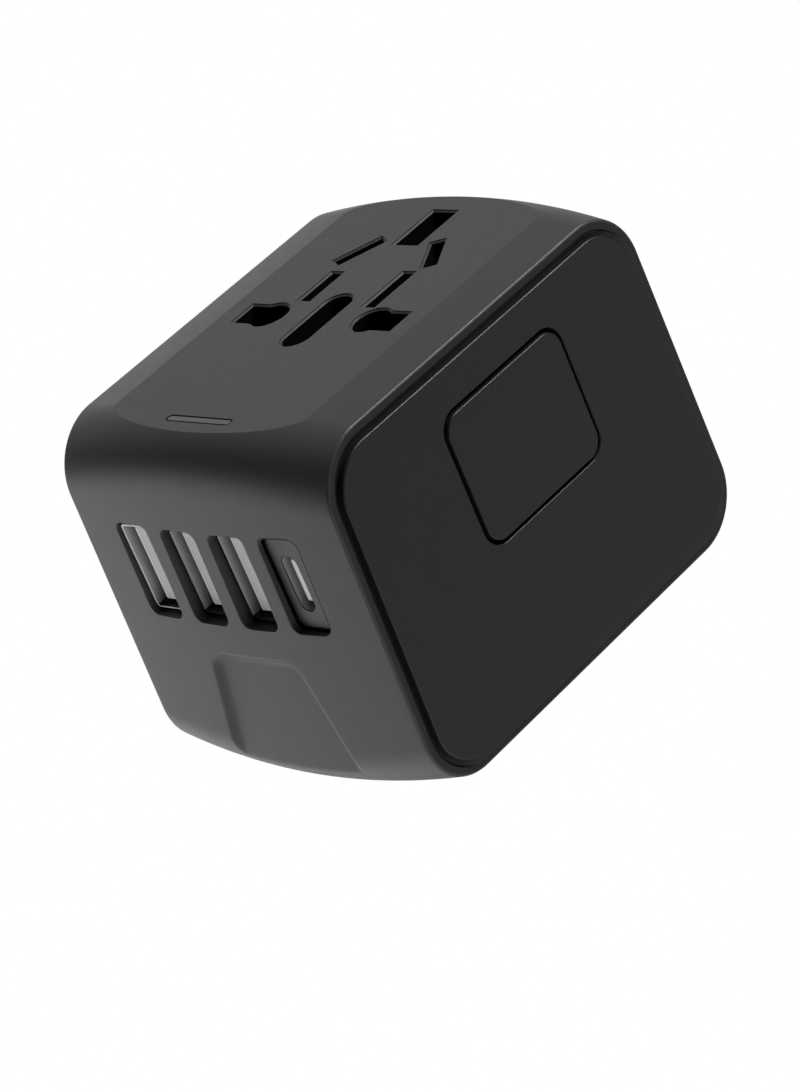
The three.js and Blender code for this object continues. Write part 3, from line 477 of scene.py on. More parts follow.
def clouded(tree, place, level, uneven, edge_highlight):
    """A grey tone with faint clouding, paler by the given factor along convex edges: a painted
    highlight.
    """
    clouds = noise(tree, place, 140.0, 4.0)
    base = blend_colours(tree, clouds, grey(level * (1 - uneven)), grey(level * (1 + uneven)))
    if edge_highlight <= 1:
        return base
    # convex edges are lightened: a painted highlight where rounded edges catch the light
    edge = tree.nodes.new("ShaderNodeNewGeometry").outputs["Pointiness"]
    ramp = tree.nodes.new("ShaderNodeMapRange")
    ramp.inputs["From Min"].default_value = 0.53
    ramp.inputs["From Max"].default_value = 0.62
    tree.links.new(edge, ramp.inputs["Value"])
    highlighted = tree.nodes.new("ShaderNodeMix")
    highlighted.data_type = "RGBA"
    highlighted.inputs["B"].default_value = grey(level * edge_highlight)
    tree.links.new(ramp.outputs["Result"], highlighted.inputs["Factor"])
    tree.links.new(base, highlighted.inputs["A"])
    return highlighted.outputs["Result"]


def plastic(name, level, rough, grain=0.16, depth=4e-6, uneven=0.02, edge_highlight=1.25, specular=0.5):
    """Moulded plastic with a fine grain of that size in mm: clouded, or one tone if it is even,
    its convex edges paler by a painted highlight.
    """
    made, tree, shader, place = new_material(name)
    if uneven:
        tree.links.new(clouded(tree, place, level, uneven, edge_highlight), shader.inputs["Base Color"])
    else:
        shader.inputs["Base Color"].default_value = grey(level)
    fine = noise(tree, place, 1000 / grain, 2.0)
    tree.links.new(
        spread(tree, noise(tree, place, 420.0, 3.0), rough - 0.02, rough + 0.02),
        shader.inputs["Roughness"])
    shader.inputs["Specular IOR Level"].default_value = specular
    bumps(tree, shader, [(fine, depth)])
    return made


def metal(name, colour, rough, stretch=(1.0, 1.0, 14.0), scale=900.0, depth=1.5e-6, share=1.0,
          depth_shade=None):
    """Drawn or brushed metal: fine streaks along one axis in tone, gloss and height."""
    made, tree, shader, place = new_material(name)
    streaks = noise(tree, place, scale, 3.0, 0.6, stretch)
    dark = tuple(c * 0.86 for c in colour[:3]) + (1.0,)
    tone = blend_colours(tree, streaks, dark, colour)
    # painted shade: the tone darkens deeper along y
    if depth_shade:
        tone = depth_shaded(tree, place, tone, *depth_shade)
    tree.links.new(tone, shader.inputs["Base Color"])
    tree.links.new(spread(tree, streaks, rough * 0.8, rough * 1.25), shader.inputs["Roughness"])
    shader.inputs["Metallic"].default_value = share
    bumps(tree, shader, [(streaks, depth)])
    return made


def clear(name, level, rough):
    """Clear or smoked resin with a faint haze."""
    made, tree, shader, place = new_material(name)
    haze = noise(tree, place, 800.0, 3.0)
    tree.links.new(
        blend_colours(tree, haze, grey(level * 0.94), grey(level * 1.06)),
        shader.inputs["Base Color"])
    tree.links.new(spread(tree, haze, rough * 0.8, rough * 1.2), shader.inputs["Roughness"])
    shader.inputs["Coat Weight"].default_value = 0.4
    bumps(tree, shader, [(haze, 1e-6)])
    return made


def wound(name, colour):
    """Varnished tape in overlapping turns."""
    made, tree, shader, place = new_material(name)
    wave = tree.nodes.new("ShaderNodeTexWave")
    wave.bands_direction = "Y"
    wave.inputs["Scale"].default_value = 260.0
    wave.inputs["Distortion"].default_value = 1.2
    tree.links.new(place, wave.inputs["Vector"])
    dark = tuple(c * 0.7 for c in colour[:3]) + (1.0,)
    tree.links.new(
        blend_colours(tree, wave.outputs["Fac"], dark, colour), shader.inputs["Base Color"])
    tree.links.new(
        spread(tree, noise(tree, place, 500.0), 0.3, 0.45), shader.inputs["Roughness"])
    bumps(tree, shader, [(wave.outputs["Fac"], 2e-5)])
    return made


MATERIALS = {
    "shell": plastic("shell_plastic", 70, 0.45),
    "flat": plastic("flat_shell_plastic", 70, 0.45, edge_highlight=1.0),
    "shadow": plastic("shadowed_plastic", 6, 0.6, 0.2, 4e-6, 0.06, 1.0, 0.12),
    # the USB mouth walls are the shell plastic made paler: painted light where the narrow mouths
    # keep the lamps out
    "port_painted_light": plastic("port_wall_painted_light_plastic", 88, 0.5, 0.16, 2e-6, 0.03, 1.0),
    "panel": plastic("panel_plastic", 37, 0.42, 0.13, 2.5e-6, 0.04, 1.35),
    "knob": plastic("knob_plastic", 62, 0.45, 0.15, 4e-6),
    "inner": plastic("inner_plastic", 34, 0.5, 0.2, 4e-6, 0.06, 1.0),
    "sleeve": plastic("pin_sleeve_plastic", 26, 0.4, 0.2, 2e-6, 0.05, 1.2),
    "bezel": plastic("bezel_plastic", 62, 0.4, 0.3, 1e-6, 0.03, 1.1),
    "lens": clear("smoked_lens", 84, 0.36),
    "brass": metal("drawn_brass", (0.60, 0.43, 0.20, 1.0), 0.3),
    "nickel": metal("nickel_plate", (0.60, 0.59, 0.57, 1.0), 0.26),
    "steel": metal("satin_steel", (0.96, 0.96, 0.97, 1.0), 0.4, (1.0, 16.0, 1.0), share=0.35,
                   depth_shade=(CONNECTOR_Y, CONNECTOR_Y + SOCKET_SHADE[0], SOCKET_SHADE[1])),
    # white plastic on the first USB-A socket's lip: a painted highlight in place of its reflection
    "lip": metal("lip_painted_highlight", (1.0, 1.0, 1.0, 1.0), 0.3, (1.0, 16.0, 1.0), share=0.0),
    # a darker copy of the satin steel for the USB-C socket: painted shade, falling further deeper
    # in
    "steel_c": metal("shaded_steel", (0.62, 0.62, 0.63, 1.0), 0.4, (1.0, 16.0, 1.0), share=0.35,
                     depth_shade=(CONNECTOR_Y, CONNECTOR_Y + SOCKET_SHADE[0], 0.45)),
    # pure white plastic for painted highlights on the tongues
    "tongue_highlight": plastic("tongue_highlight_plastic", 255, 0.3, 0.3, 1e-6, 0.0, 1.0),
    "tongue": plastic("tongue_plastic", 226, 0.38, 0.3, 2e-6, 0.03, 1.0),
    "board": plastic("solder_mask", 70, 0.3, 0.6, 3e-6, 0.15, 1.0),
    "ferrite": plastic("sintered_ferrite", 48, 0.7, 0.25, 1.2e-5, 0.12, 1.0),
    "tape": wound("wound_tape", (0.48, 0.33, 0.05, 1.0)),
    "can": metal("aluminium_can", (0.42, 0.43, 0.45, 1.0), 0.34, (1.0, 8.0, 1.0)),
    "glass": clear("fuse_glass", 215, 0.08),
    "diode": clear("diode_lens", 228, 0.2),
}


def dress(piece, slot, look=None):
    """Gives a piece its material: its look if one is given, else that of the record's slot it
    comes from.
    """
    piece.data.materials.clear()
    piece.data.materials.append(MATERIALS[look or slot])


def placed(piece, slot, ride_on, *stands_for, look=None, angle=30.0, level_z=()):
    """Shades, dresses and hangs a finished piece on its body in place of its CAD nodes."""
    shaded(piece, angle, level_z)
    dress(piece, slot, look)
    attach(piece, ride_on)
    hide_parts(*stands_for)
    return piece


# ---------------------------------------------------------------- sleeve

# The front has close rows of points only where the thumb recess is.
FRONT_RUN = [lerp(0.0, RECESS_FROM, t) for t in inside(11)]
FRONT_RUN += [lerp(RECESS_FROM, 1.0, t) for t in (0.0, *inside(44))]
SLEEVE_ARCS = (18, 22, 22, 44)
SLEEVE_RUNS = (inside(8), inside(10), FRONT_RUN, inside(10))
PLAIN_RUNS = (inside(4), inside(4), inside(4), inside(4))


def swell(x):
    """How far the crown stands out at a place along the sleeve: 1 half way, 0 at the ends."""
    return 1 - (x / EDGE_X) ** 2


def sleeve_point(x, y, z, crown):
    across = clamp((y - (FRONT_Y + BACK_Y) / 2) / RUN_Y)
    up = clamp((z - HEIGHT / 2) / RUN_Z)
    bulge = crown * swell(x)
    lean = FRONT_LEAN if across < 0 else BACK_LEAN
    return (x, y + across * (CROWN_Y * bulge + lean * (MID_Z - z)), z + up * CROWN_Z * bulge)


def sleeve_loop(x, inset, crown=0.0, at=None, arcs=(12, 12, 12, 12), runs=PLAIN_RUNS):
    """The sleeve's outline moved inward, drawn at one place along x."""
    shape = outline(
        (FRONT_Y + inset, BACK_Y - inset), (END_DROP + inset, HEIGHT - END_DROP - inset),
        CORNER_R - inset, arcs, runs)
    return [(x if at is None else at, *sleeve_point(x, y, z, crown)[1:]) for y, z in shape]


def front_y(x, z):
    """The front surface at a place, above the bottom corner."""
    stretch = CROWN_Z * swell(x) / RUN_Z
    level = (z + stretch * HEIGHT / 2) / (1 + stretch)
    return FRONT_Y - CROWN_Y * swell(x) - FRONT_LEAN * (MID_Z - level)


def smoothstep(value, low, high):
    t = clamp((value - low) / (high - low), 0.0, 1.0)
    return t * t * (3 - 2 * t)


def recessed(x, y, z):
    """The front's y after the thumb recess is pressed into it."""
    if y > RECESS_AREA[0] or z > RECESS_AREA[1]:
        return y
    slope = (RECESS_FOOT_HALF - RECESS_HALF) / (RECESS_TOP - RECESS_FOOT_Z)
    half = RECESS_HALF + slope * (RECESS_TOP - z)
    side = (half - abs(x)) / math.hypot(1, slope)
    top = RECESS_TOP - z
    if side < RECESS_R and top < RECESS_R:
        within = RECESS_R - math.hypot(RECESS_R - side, RECESS_R - top)
    else:
        within = min(side, top)
    if within < RECESS_FADE[0]:
        return y
    t = within / RECESS_WALL
    rise = 1 - 2 * t if t < 0 else (1 - min(t, 1.0)) ** 2
    apart = front_y(x, z) + RECESS_DEPTH * (1 - rise) - y
    pressed = 0.5 * (apart + math.hypot(apart, RECESS_SOFT))
    return y + pressed * smoothstep(within, *RECESS_FADE)


def sleeve_blank():
    """The outer form with its crown, rounded end rims and thumb recess, cut flat top and base."""
    ends = [(EDGE_X - down, inset) for inset, down in rounding(EDGE_ROUND, 7)][::-1]
    coarse = [lerp(EDGE_X - EDGE_ROUND, RECESS_GRID_X, t) for t in (*inside(9), 1.0)]
    fine = [lerp(RECESS_GRID_X, -RECESS_GRID_X, t) for t in (*inside(140), 1.0)]
    stations = ends + [(x, 0.0) for x in coarse + fine]
    stations += [(-x, inset) for x, inset in (ends + [(x, 0.0) for x in coarse[:-1]])[::-1]]
    loops = []
    for x, inset in stations:
        loop = sleeve_loop(x, inset, 1.0, None, SLEEVE_ARCS, SLEEVE_RUNS)
        loops.append([(px, recessed(px, py, pz), pz) for px, py, pz in loop])
    blank = loft("housing_sleeve", loops)
    work = bmesh.new()
    work.from_mesh(blank.data)
    for z, way in ((HEIGHT, 1), (0.0, -1)):
        everything = work.verts[:] + work.edges[:] + work.faces[:]
        bmesh.ops.bisect_plane(
            work, geom=everything, plane_co=(0, 0, z * MM), plane_no=(0, 0, way),
            clear_outer=True, dist=1e-7)
        rim = [e for e in work.edges if e.is_boundary]
        bmesh.ops.holes_fill(work, edges=rim, sides=0)
    bmesh.ops.recalc_face_normals(work, faces=work.faces)
    work.to_mesh(blank.data)
    work.free()
    return blank


def bore():
    """The space inside the sleeve, wider in its two open ends, their lips rounded."""
    lip = [(EDGE_X - down, RIM_WALL - out) for out, down in rounding(LIP_ROUND, 4)]
    half = [(RIM_SEAT_X, WALL), (RIM_SEAT_X, RIM_WALL), *lip, (EDGE_X + 1, RIM_WALL - LIP_ROUND)]
    stations = [(-x, inset) for x, inset in half[::-1]] + half
    return loft("bore", [sleeve_loop(x, inset, 0.0, None, (16, 16, 16, 16))
                         for x, inset in stations])


def keyhole(side):
    """A line pin's opening: a round hole that runs out into a square-ended slot."""
    centre = EU_SPACING / 2
    meet = math.asin(UK_HALF_HEIGHT / EU_HOLE_R)
    shape = [(UK_OUTER_X, LINE_Y - UK_HALF_HEIGHT), (UK_OUTER_X, LINE_Y + UK_HALF_HEIGHT)]
    for i in range(33):
        a = lerp(meet, 2 * math.pi - meet, i / 32)
        shape.append((centre + EU_HOLE_R * math.cos(a), LINE_Y + EU_HOLE_R * math.sin(a)))
    return shape if side > 0 else [(-x, y) for x, y in shape[::-1]]


def punch(shape, low, face, way=1, bevel=BEVEL, step=BEVEL_STEP):
    """Cuts from low to a flat face at z, with a bevel sunk a little step below that face."""
    steps = [(low, 0.0), (face - way * (bevel * BEVEL_SLOPE + step), 0.0),
             (face - way * step, bevel),
             (face + way, bevel)]
    return loft("punch", [along_z(grown(shape, out), z) for z, out in steps])


def socket_punches():
    low = SOCKET_BLOCK[2][0] - 1
    shapes = [keyhole(-1), keyhole(1), turned_rect(*EARTH_HOLE)]
    shapes.append(centred(*EARTH_SLOT, EARTH_SLOT[2] / 2, (14, 14, 14, 14)))
    for k, side in enumerate((-1, 1)):
        shapes.append(turned_rect(
            side * US_SPACING / 2, US_SLOT_Y, US_SLOT_WIDTH, US_SLOT_LENGTHS[k]))
        shapes.append(turned_rect(
            side * AU_SPACING / 2, AU_SLOT_Y, *AU_SLOT, side * AU_ANGLE))
    return [punch(shape, low, HEIGHT) for shape in shapes]


def bow_tie(side):
    """What a flat blade sweeps as it turns about its own centre, as one outline."""
    x = side * US_SPACING / 2
    w, h = US_BLADE[0] / 2 + GAP, US_BLADE[1] / 2 + GAP
    start, end = (0.0, US_TWIST) if side > 0 else (-US_TWIST, 0.0)

    def turned(u, v, turn):
        c, s = math.cos(turn), math.sin(turn)
        return x + u * c - v * s, US_Y + u * s + v * c

    top = [turned(w, h, lerp(start, end, i / 6)) for i in range(7)] + [turned(-w, h, end)]
    foot = [(2 * x - px, 2 * US_Y - py) for px, py in top]
    waist = w / math.cos((end - start) / 2)
    middle = (start + end) / 2
    return [turned(waist, 0, middle), *top, turned(-waist, 0, middle), *foot]


def base_punches():
    shapes = []
    for side in (-1, 1):
        shapes.append(centred(
            side * UK_SPACING / 2, LINE_Y, UK_PIN[0] + 2 * GAP, UK_PIN[1] + 2 * GAP, 0.4))
        shapes.append(centred(
            side * EU_SPACING / 2, EU_Y, 2 * (EU_PIN_R + GAP), 2 * (EU_PIN_R + GAP),
            EU_PIN_R + GAP, (12, 12, 12, 12)))
        shapes.append(bow_tie(side))
    shapes.append(centred(
        0, LINE_Y + UK_SPACING, UK_EARTH_PIN[0] + 2 * GAP, UK_EARTH_PIN[1] + 2 * GAP, 0.4))
    drawer_x, drawer_y, _ = cad("fuse_drawer")
    shapes.append(outline(
        (drawer_x[0] - GAP, drawer_x[1] + GAP), (drawer_y[0] - GAP, drawer_y[1] + GAP), 0.5))
    return [punch(shape, 7.0, 0.0, -1, 0.25) for shape in shapes]


def port_mouth(x, outlined=False):
    """The opening in front of a USB socket, its edge rounded along the crowned front."""
    width, height, r = PORT_MOUTH
    shape = centred(x, PORT_Z, width, height, r, (10, 10, 10, 10))
    loops = [along_y(shape, FRONT_Y + 5.5), along_y(shape, CONNECTOR_Y - CREVICE)]
    for out, deep in rounding(PORT_ROUND, 4):
        loops.append([(u, front_y(u, v) + deep, v) for u, v in grown(shape, out)])
    if outlined:
        for out in (PORT_ROUND, PORT_OUTLINE):
            loops.append([(u, front_y(u, v) + OUTLINE_STEP, v) for u, v in grown(shape, out)])
    last = grown(shape, PORT_OUTLINE if outlined else PORT_ROUND + 0.05)
    loops.append([(u, front_y(u, v) - 1, v) for u, v in last])
    return loft("mouth", loops)


HOUSING_LOOKS = ("shell", "shadow", "panel", "port_painted_light", "flat")


def housing():
    sleeve = sleeve_blank()
    boolean(sleeve, "DIFFERENCE", bore())
    fittings = [block("fitting", *SOCKET_BLOCK), block("fitting", *SPRING_SEAT)]
    r, low, high = BOSS
    for x, y in BOSSES:
        if abs(x) > SOCKET_BLOCK[0][1] + r or y < SOCKET_BLOCK[1][0] - r:
            fittings.append(rod("fitting", x, y, [(r, low), (r, high)], 24))
    boolean(sleeve, "UNION", merged("fittings", fittings))
    light = centred(*LIGHT, LIGHT[3] / 2, (10, 10, 10, 10))
    tools = socket_punches() + base_punches() + [port_mouth(x, x == PORTS[3]) for x in PORTS]
    tools.append(punch(light, 44.0, HEIGHT, 1, LIGHT_BEVEL, 0.02))
    boolean(sleeve, "DIFFERENCE", merged("punches", tools))
    placed(sleeve, "shell", "housing", "main_housing", angle=27.0, level_z=(0.0, HEIGHT))
    for look in HOUSING_LOOKS[1:]:
        sleeve.data.materials.append(MATERIALS[look])
    for face in sleeve.data.polygons:
        face.material_index = HOUSING_LOOKS.index(housing_look(face))


def housing_look(face):
    """Which of the housing's looks a face has."""
    x, y, z = (c / MM for c in face.center)
    if abs(face.normal.z) > 0.9999 and min(abs(z), abs(z - HEIGHT)) < 0.001:
        return "flat"
    in_holes = abs(x) < HOLES_HALF_X and HOLES_Y[0] < y < HOLES_Y[1]
    if abs(face.normal.z) < 0.2 and in_holes and (z > HEIGHT - HOLES_DEEP or z < HOLES_DEEP):
        return "shadow"
    by_light = abs(x) < (LIGHT[2] + LIGHT[3]) / 2 + 0.1 and abs(y - LIGHT[1]) < 1
    if by_light and HEIGHT - 1 < z < HEIGHT - 0.005:
        return "shadow"
    # The sleeve's end faces and its inner walls near the open ends take the darker panel plastic:
    # painted shade, as they are the shell's plastic turned from the light.
    if abs(x) > RIM_SEAT_X - 0.1:
        middle = Vector((0.0, y - (FRONT_Y + BACK_Y) / 2, z - HEIGHT / 2)).normalized()
        return "panel" if face.normal.dot(middle) < 0.15 else "shell"
    return port_look(face, x, y, z)


def port_look(face, x, y, z):
    """The look of a face in or near a USB opening."""
    if y >= FRONT_Y + PORT_DEEP:
        return "shell"
    across = (x - PORTS[3]) / PORT_MOUTH[0] * 2
    up = (z - PORT_Z) / PORT_MOUTH[1] * 2
    if max(abs(across), abs(up)) < 1.1:
        outline_step = face.normal.y < -0.9 and y > front_y(x, z) + OUTLINE_STEP / 2
        if (outline_step and across + up > 0) or y > CONNECTOR_Y - CREVICE:
            return "shadow"
    # the mouth's side walls take the paler wall plastic: painted light
    if abs(z - PORT_Z) < PORT_MOUTH[1] / 2 + 0.9 and abs(face.normal.y) < 0.3:
        return "port_painted_light"
    return "shell"


# ---------------------------------------------------------------- side panels and button

def groove_closed(y, z):
    """How far the panel's groove is closed: 0 along its top and front, 1 along base and back."""
    off_y, off_z = y - (FRONT_Y + BACK_Y) / 2, z - HEIGHT / 2
    outward = Vector((off_y - RUN_Y * clamp(off_y / RUN_Y), off_z - RUN_Z * clamp(off_z / RUN_Z)))
    outward.normalize()
    return smoothstep((outward.x - outward.y) / math.sqrt(2), -0.5, 0.5)


def panel_blank(name, side):
    """A side panel, with the flange that makes the floor of the groove round it."""
    back = RIM_SEAT_X + GAP
    floor_x = EDGE_X - GROOVE_DEPTH
    steps = [(back, RIM_WALL + 0.02), (floor_x, RIM_WALL + 0.02), (floor_x, PANEL_INSET)]
    steps += [(PANEL_X - down, PANEL_INSET + inset) for inset, down in rounding(PANEL_ROUND, 5)]
    loops = []
    for k, (x, inset) in enumerate(steps):
        loop = []
        shapes = [sleeve_loop(x, inset - pushed, 0.0, x, (16, 16, 16, 16))
                  for pushed in (0.0, FLANGE_OVERLAP if k < 2 else 0.0)]
        for (_, y, z), (_, far_y, far_z) in zip(*shapes):
            closed = groove_closed(y, z) if side > 0 else 0.0
            least = lerp(floor_x, PANEL_X - CLOSED_STEP, closed) if k else back
            loop.append((side * max(x, least), lerp(y, far_y, closed), lerp(z, far_z, closed)))
        loops.append(loop)
    return loft(name, loops)


def side_punch(shape, deep, side, r=HOLE_ROUND):
    """Cuts into a side panel down to x = deep, with the edge at its face rounded over."""
    loops = [along_x(shape, side * deep)]
    for out, down in rounding(r, 4):
        loops.append(along_x(grown(shape, out), side * (PANEL_X - down)))
    loops.append(along_x(grown(shape, r + 0.05), side * (PANEL_X + 1)))
    return loft("side_punch", loops)


def right_panel():
    b = BUTTON
    panel = panel_blank("side_panel_right", 1)
    shape = centred(b["y"], b["z"], b["width"], b["height"], b["r"], (12, 12, 12, 12))
    boolean(panel, "DIFFERENCE", side_punch(shape, RIM_SEAT_X - 1, 1))
    placed(panel, "panel", "housing", "right_side_panel")


def left_panel():
    panel = panel_blank("side_panel_left", -1)
    tracks, slots = [], []
    for name in KNOBS:
        y = sum(cad(f"{name}_knob")[1]) / 2
        shape = outline((y - TRACK_WIDTH / 2, y + TRACK_WIDTH / 2), TRACK_Z, TRACK_R)
        tracks.append(side_punch(shape, TRACK_FLOOR_X, -1))
        reach = ARM_WIDTH / 2 + GAP
        span = (ARM_Z[0] - KNOB_TRAVEL[name] - GAP, ARM_Z[1] + GAP)
        slots.append(block("slot", (-PANEL_X, 1 - RIM_SEAT_X), (y - reach, y + reach), span))
    boolean(panel, "DIFFERENCE", merged("tracks", tracks), merged("slots", slots))
    placed(panel, "panel", "housing", "left_side_panel")


def release_button():
    b = BUTTON
    (flange_x, face_x), _, _ = cad("release_button")
    wide, high = b["width"] - 2 * BUTTON_GROOVE, b["height"] - 2 * BUTTON_GROOVE
    r = b["r"] - BUTTON_GROOVE

    def ring(x, inset, grow=0.0):
        shape = centred(b["y"], b["z"], wide - 2 * inset + grow, high - 2 * inset + grow,
                        r - inset + grow / 2, (12, 12, 12, 12))
        return along_x(shape, x)

    rim = 2 * (BUTTON_GROOVE + BUTTON_LIP)
    loops = [ring(face_x - BUTTON_WALL, BUTTON_WALL), ring(flange_x, BUTTON_WALL)]
    loops += [ring(flange_x, 0.0, rim), ring(flange_x + BUTTON_FLANGE, 0.0, rim)]
    loops.append(ring(flange_x + BUTTON_FLANGE, 0.0))
    loops += [ring(face_x - down, inset) for inset, down in rounding(BUTTON_ROUND, 5)]
    placed(loft("push_button", loops), "panel", "release_button", "release_button")


def knob(name):
    xs, ys, zs = cad(f"{name}_knob")
    face = xs[0] + RIB_HIGH
    shape = outline(ys, zs, 1.0)
    loops = [along_x(shape, xs[1])]
    for inset, down in rounding(KNOB_ROUND, 4):
        loops.append(along_x(grown(shape, -inset), face + down))
    made = loft(f"slide_knob_{name}", loops)
    pitch = (zs[1] - zs[0]) / (KNOB_RIBS + 1)
    ribs = []
    for i in range(KNOB_RIBS):
        z = zs[0] + (i + 1) * pitch
        bar = outline((ys[0] + RIB_INSET, ys[1] - RIB_INSET),
                      (z - RIB_HALF, z + RIB_HALF), RIB_HALF - 0.01)
        steps = [along_x(bar, face + RIB_ROUND)]
        for inset, down in rounding(RIB_ROUND, 4):
            steps.append(along_x(grown(bar, -inset), xs[0] + down))
        ribs.append(loft("rib", steps))
    boolean(made, "UNION", merged("ribs", ribs))
    placed(made, "knob", f"{name}_slider", f"{name}_knob")


# ---------------------------------------------------------------- USB sockets

def tube(name, xs, ys, zs, r, wall, back, lip):
    """A thin-walled socket shell along y, its front lip rounded over, closed at the back."""
    def ring(y, inset):
        return along_y(outline((xs[0] + inset, xs[1] - inset), (zs[0] + inset, zs[1] - inset),
                               r - inset, (10, 10, 10, 10)), y)
    loops = [ring(ys[1], 0.0)]
    loops += [ring(ys[0] + down, inset) for inset, down in rounding(lip, 4)]
    loops += [ring(ys[0] + down, wall - inset) for inset, down in rounding(lip, 4)[::-1]]
    loops.append(ring(back, wall))
    return loft(name, loops)


def recolour(piece, chosen, look="shadow"):
    """Gives the chosen faces of a finished piece another material."""
    piece.data.materials.append(MATERIALS[look])
    last = len(piece.data.materials) - 1
    for face in piece.data.polygons:
        if chosen(face):
            face.material_index = last


def usb_a(index):
    xs, ys, zs = cad(f"usb_a_shell_{index}")
    shell = tube(f"usb_a_can_{index}", xs, ys, zs, 0.7, SHELL_WALL, ys[1] - SHELL_WALL,
                 SHELL_LIPS[index - 1])
    placed(shell, "steel", "housing", f"usb_a_shell_{index}", angle=40.0)
    # The shell's front lip is painted: a white painted highlight on the first socket, painted
    # shadow on the others.
    front = (ys[0] + LIP_DEEP) * MM
    recolour(shell, lambda face: face.normal.y < -0.3 and face.center.y < front,
             "shadow" if index > 1 else "lip")
    # the shell's floor takes the dark inner plastic: painted shade
    recolour(shell, lambda face: face.normal.z > 0.5 and face.center.z < PORT_Z * MM, "inner")
    xs, ys, zs = cad(f"usb_a_tongue_{index}")
    shape = turned_rect(sum(xs) / 2, sum(zs) / 2, xs[1] - xs[0], zs[1] - zs[0])
    loops = [along_y(shape, ys[1]), along_y(shape, ys[0] + TONGUE_CHAMFER),
             along_y(grown(shape, -TONGUE_CHAMFER), ys[0]),
             along_y(grown(shape, -TONGUE_EDGE), ys[0])]
    made = placed(loft(f"usb_a_insert_{index}", loops), "tongue", "housing",
                  f"usb_a_tongue_{index}")
    # a strip along the left of the tongue's front is painted white: a painted highlight
    highlight_until = (xs[0] + TONGUE_EDGE) * MM
    recolour(made, lambda face: face.center.x < highlight_until, "tongue_highlight")


def usb_c():
    xs, ys, zs = cad("usb_c_bezel")
    shell_x, shell_y, shell_z = cad("usb_c_shell")
    shape = outline(xs, zs, 1.2, (10, 10, 10, 10))
    loops = [along_y(shape, ys[1])]
    loops += [along_y(grown(shape, -inset), ys[0] + down)
              for inset, down in rounding(BEZEL_ROUND, 6)]
    bezel = loft("usb_c_surround", loops)
    hole = outline((shell_x[0] + SHELL_WALL, shell_x[1] - SHELL_WALL),
                   (shell_z[0] + SHELL_WALL, shell_z[1] - SHELL_WALL), 2.0, (14, 14, 14, 14))
    steps = [along_y(hole, ys[1] + 1)]
    for out, down in rounding(HOLE_LINE, 4):
        steps.append(along_y(grown(hole, out), ys[0] + down))
    steps.append(along_y(grown(hole, HOLE_LINE + 0.02), ys[0] - 1))
    boolean(bezel, "DIFFERENCE", loft("hole", steps))
    placed(bezel, "inner", "housing", "usb_c_bezel", look="bezel")
    low_x, high_x = (shell_x[0] - HOLE_MARGIN) * MM, (shell_x[1] + HOLE_MARGIN) * MM
    low_z, high_z = (shell_z[0] - HOLE_MARGIN) * MM, (shell_z[1] + HOLE_MARGIN) * MM

    def in_mouth(face):
        return low_x < face.center.x < high_x and low_z < face.center.z < high_z

    # The plate's outer edge is painted shadow, the hole's wall is the darker steel with painted
    # shade, and its rounded lip is a line of painted shadow.
    recolour(bezel, lambda face: face.normal.y > -0.6 and not in_mouth(face))
    recolour(bezel, lambda face: face.normal.y > -0.45 and in_mouth(face), "steel_c")
    recolour(bezel, lambda face: -0.95 < face.normal.y < -0.45 and in_mouth(face))
    shell = tube("usb_c_can", shell_x, shell_y, shell_z, 1.6, SHELL_WALL,
                 shell_y[1] - SHELL_WALL, SHELL_LIPS[2])
    placed(shell, "steel", "housing", "usb_c_shell", look="steel_c", angle=40.0)
    xs, ys, zs = cad("usb_c_tongue")
    xs = (xs[0] - USB_C_TONGUE_EXTRA, xs[1])
    shape = outline(xs, zs, 0.2)
    loops = [along_y(shape, ys[1])]
    loops += [along_y(grown(shape, -inset), ys[0] + down) for inset, down in rounding(0.1, 3)]
    # the whole USB-C tongue takes the white highlight plastic: painted light
    placed(loft("usb_c_insert", loops), "tongue", "housing", "usb_c_tongue", look="tongue_highlight")


def light_window():
    xs, ys, zs = cad("light_pipe")
    shape = outline(xs, ys, 0.5, (10, 10, 10, 10))
    loops = [along_z(shape, zs[0])]
    loops += [along_z(grown(shape, -inset), zs[1] - down)
              for inset, down in rounding(0.06, 3)]
    placed(loft("light_window", loops), "lens", "housing", "light_pipe")


# ---------------------------------------------------------------- pins and fuse drawer

def flat_pin(name, node, slot, ride_on, round_side, round_tip, narrow_from=None, narrow=0.0):
    """A flat pin with softened edges and a rounded tip, slimmer where its sleeve goes."""
    xs, ys, zs = cad(node)
    loops = [along_z(shrunk(xs, ys, round_side, inset), zs[0] + down)
             for inset, down in rounding(round_tip, 5)[::-1]]
    if narrow_from is not None:
        loops.append(along_z(shrunk(xs, ys, round_side, 0.0), narrow_from))
        loops.append(along_z(shrunk(xs, ys, round_side, narrow), narrow_from))
    else:
        narrow = 0.0
    loops.append(along_z(shrunk(xs, ys, round_side, narrow), zs[1]))
    placed(loft(name, loops), slot, ride_on, node)


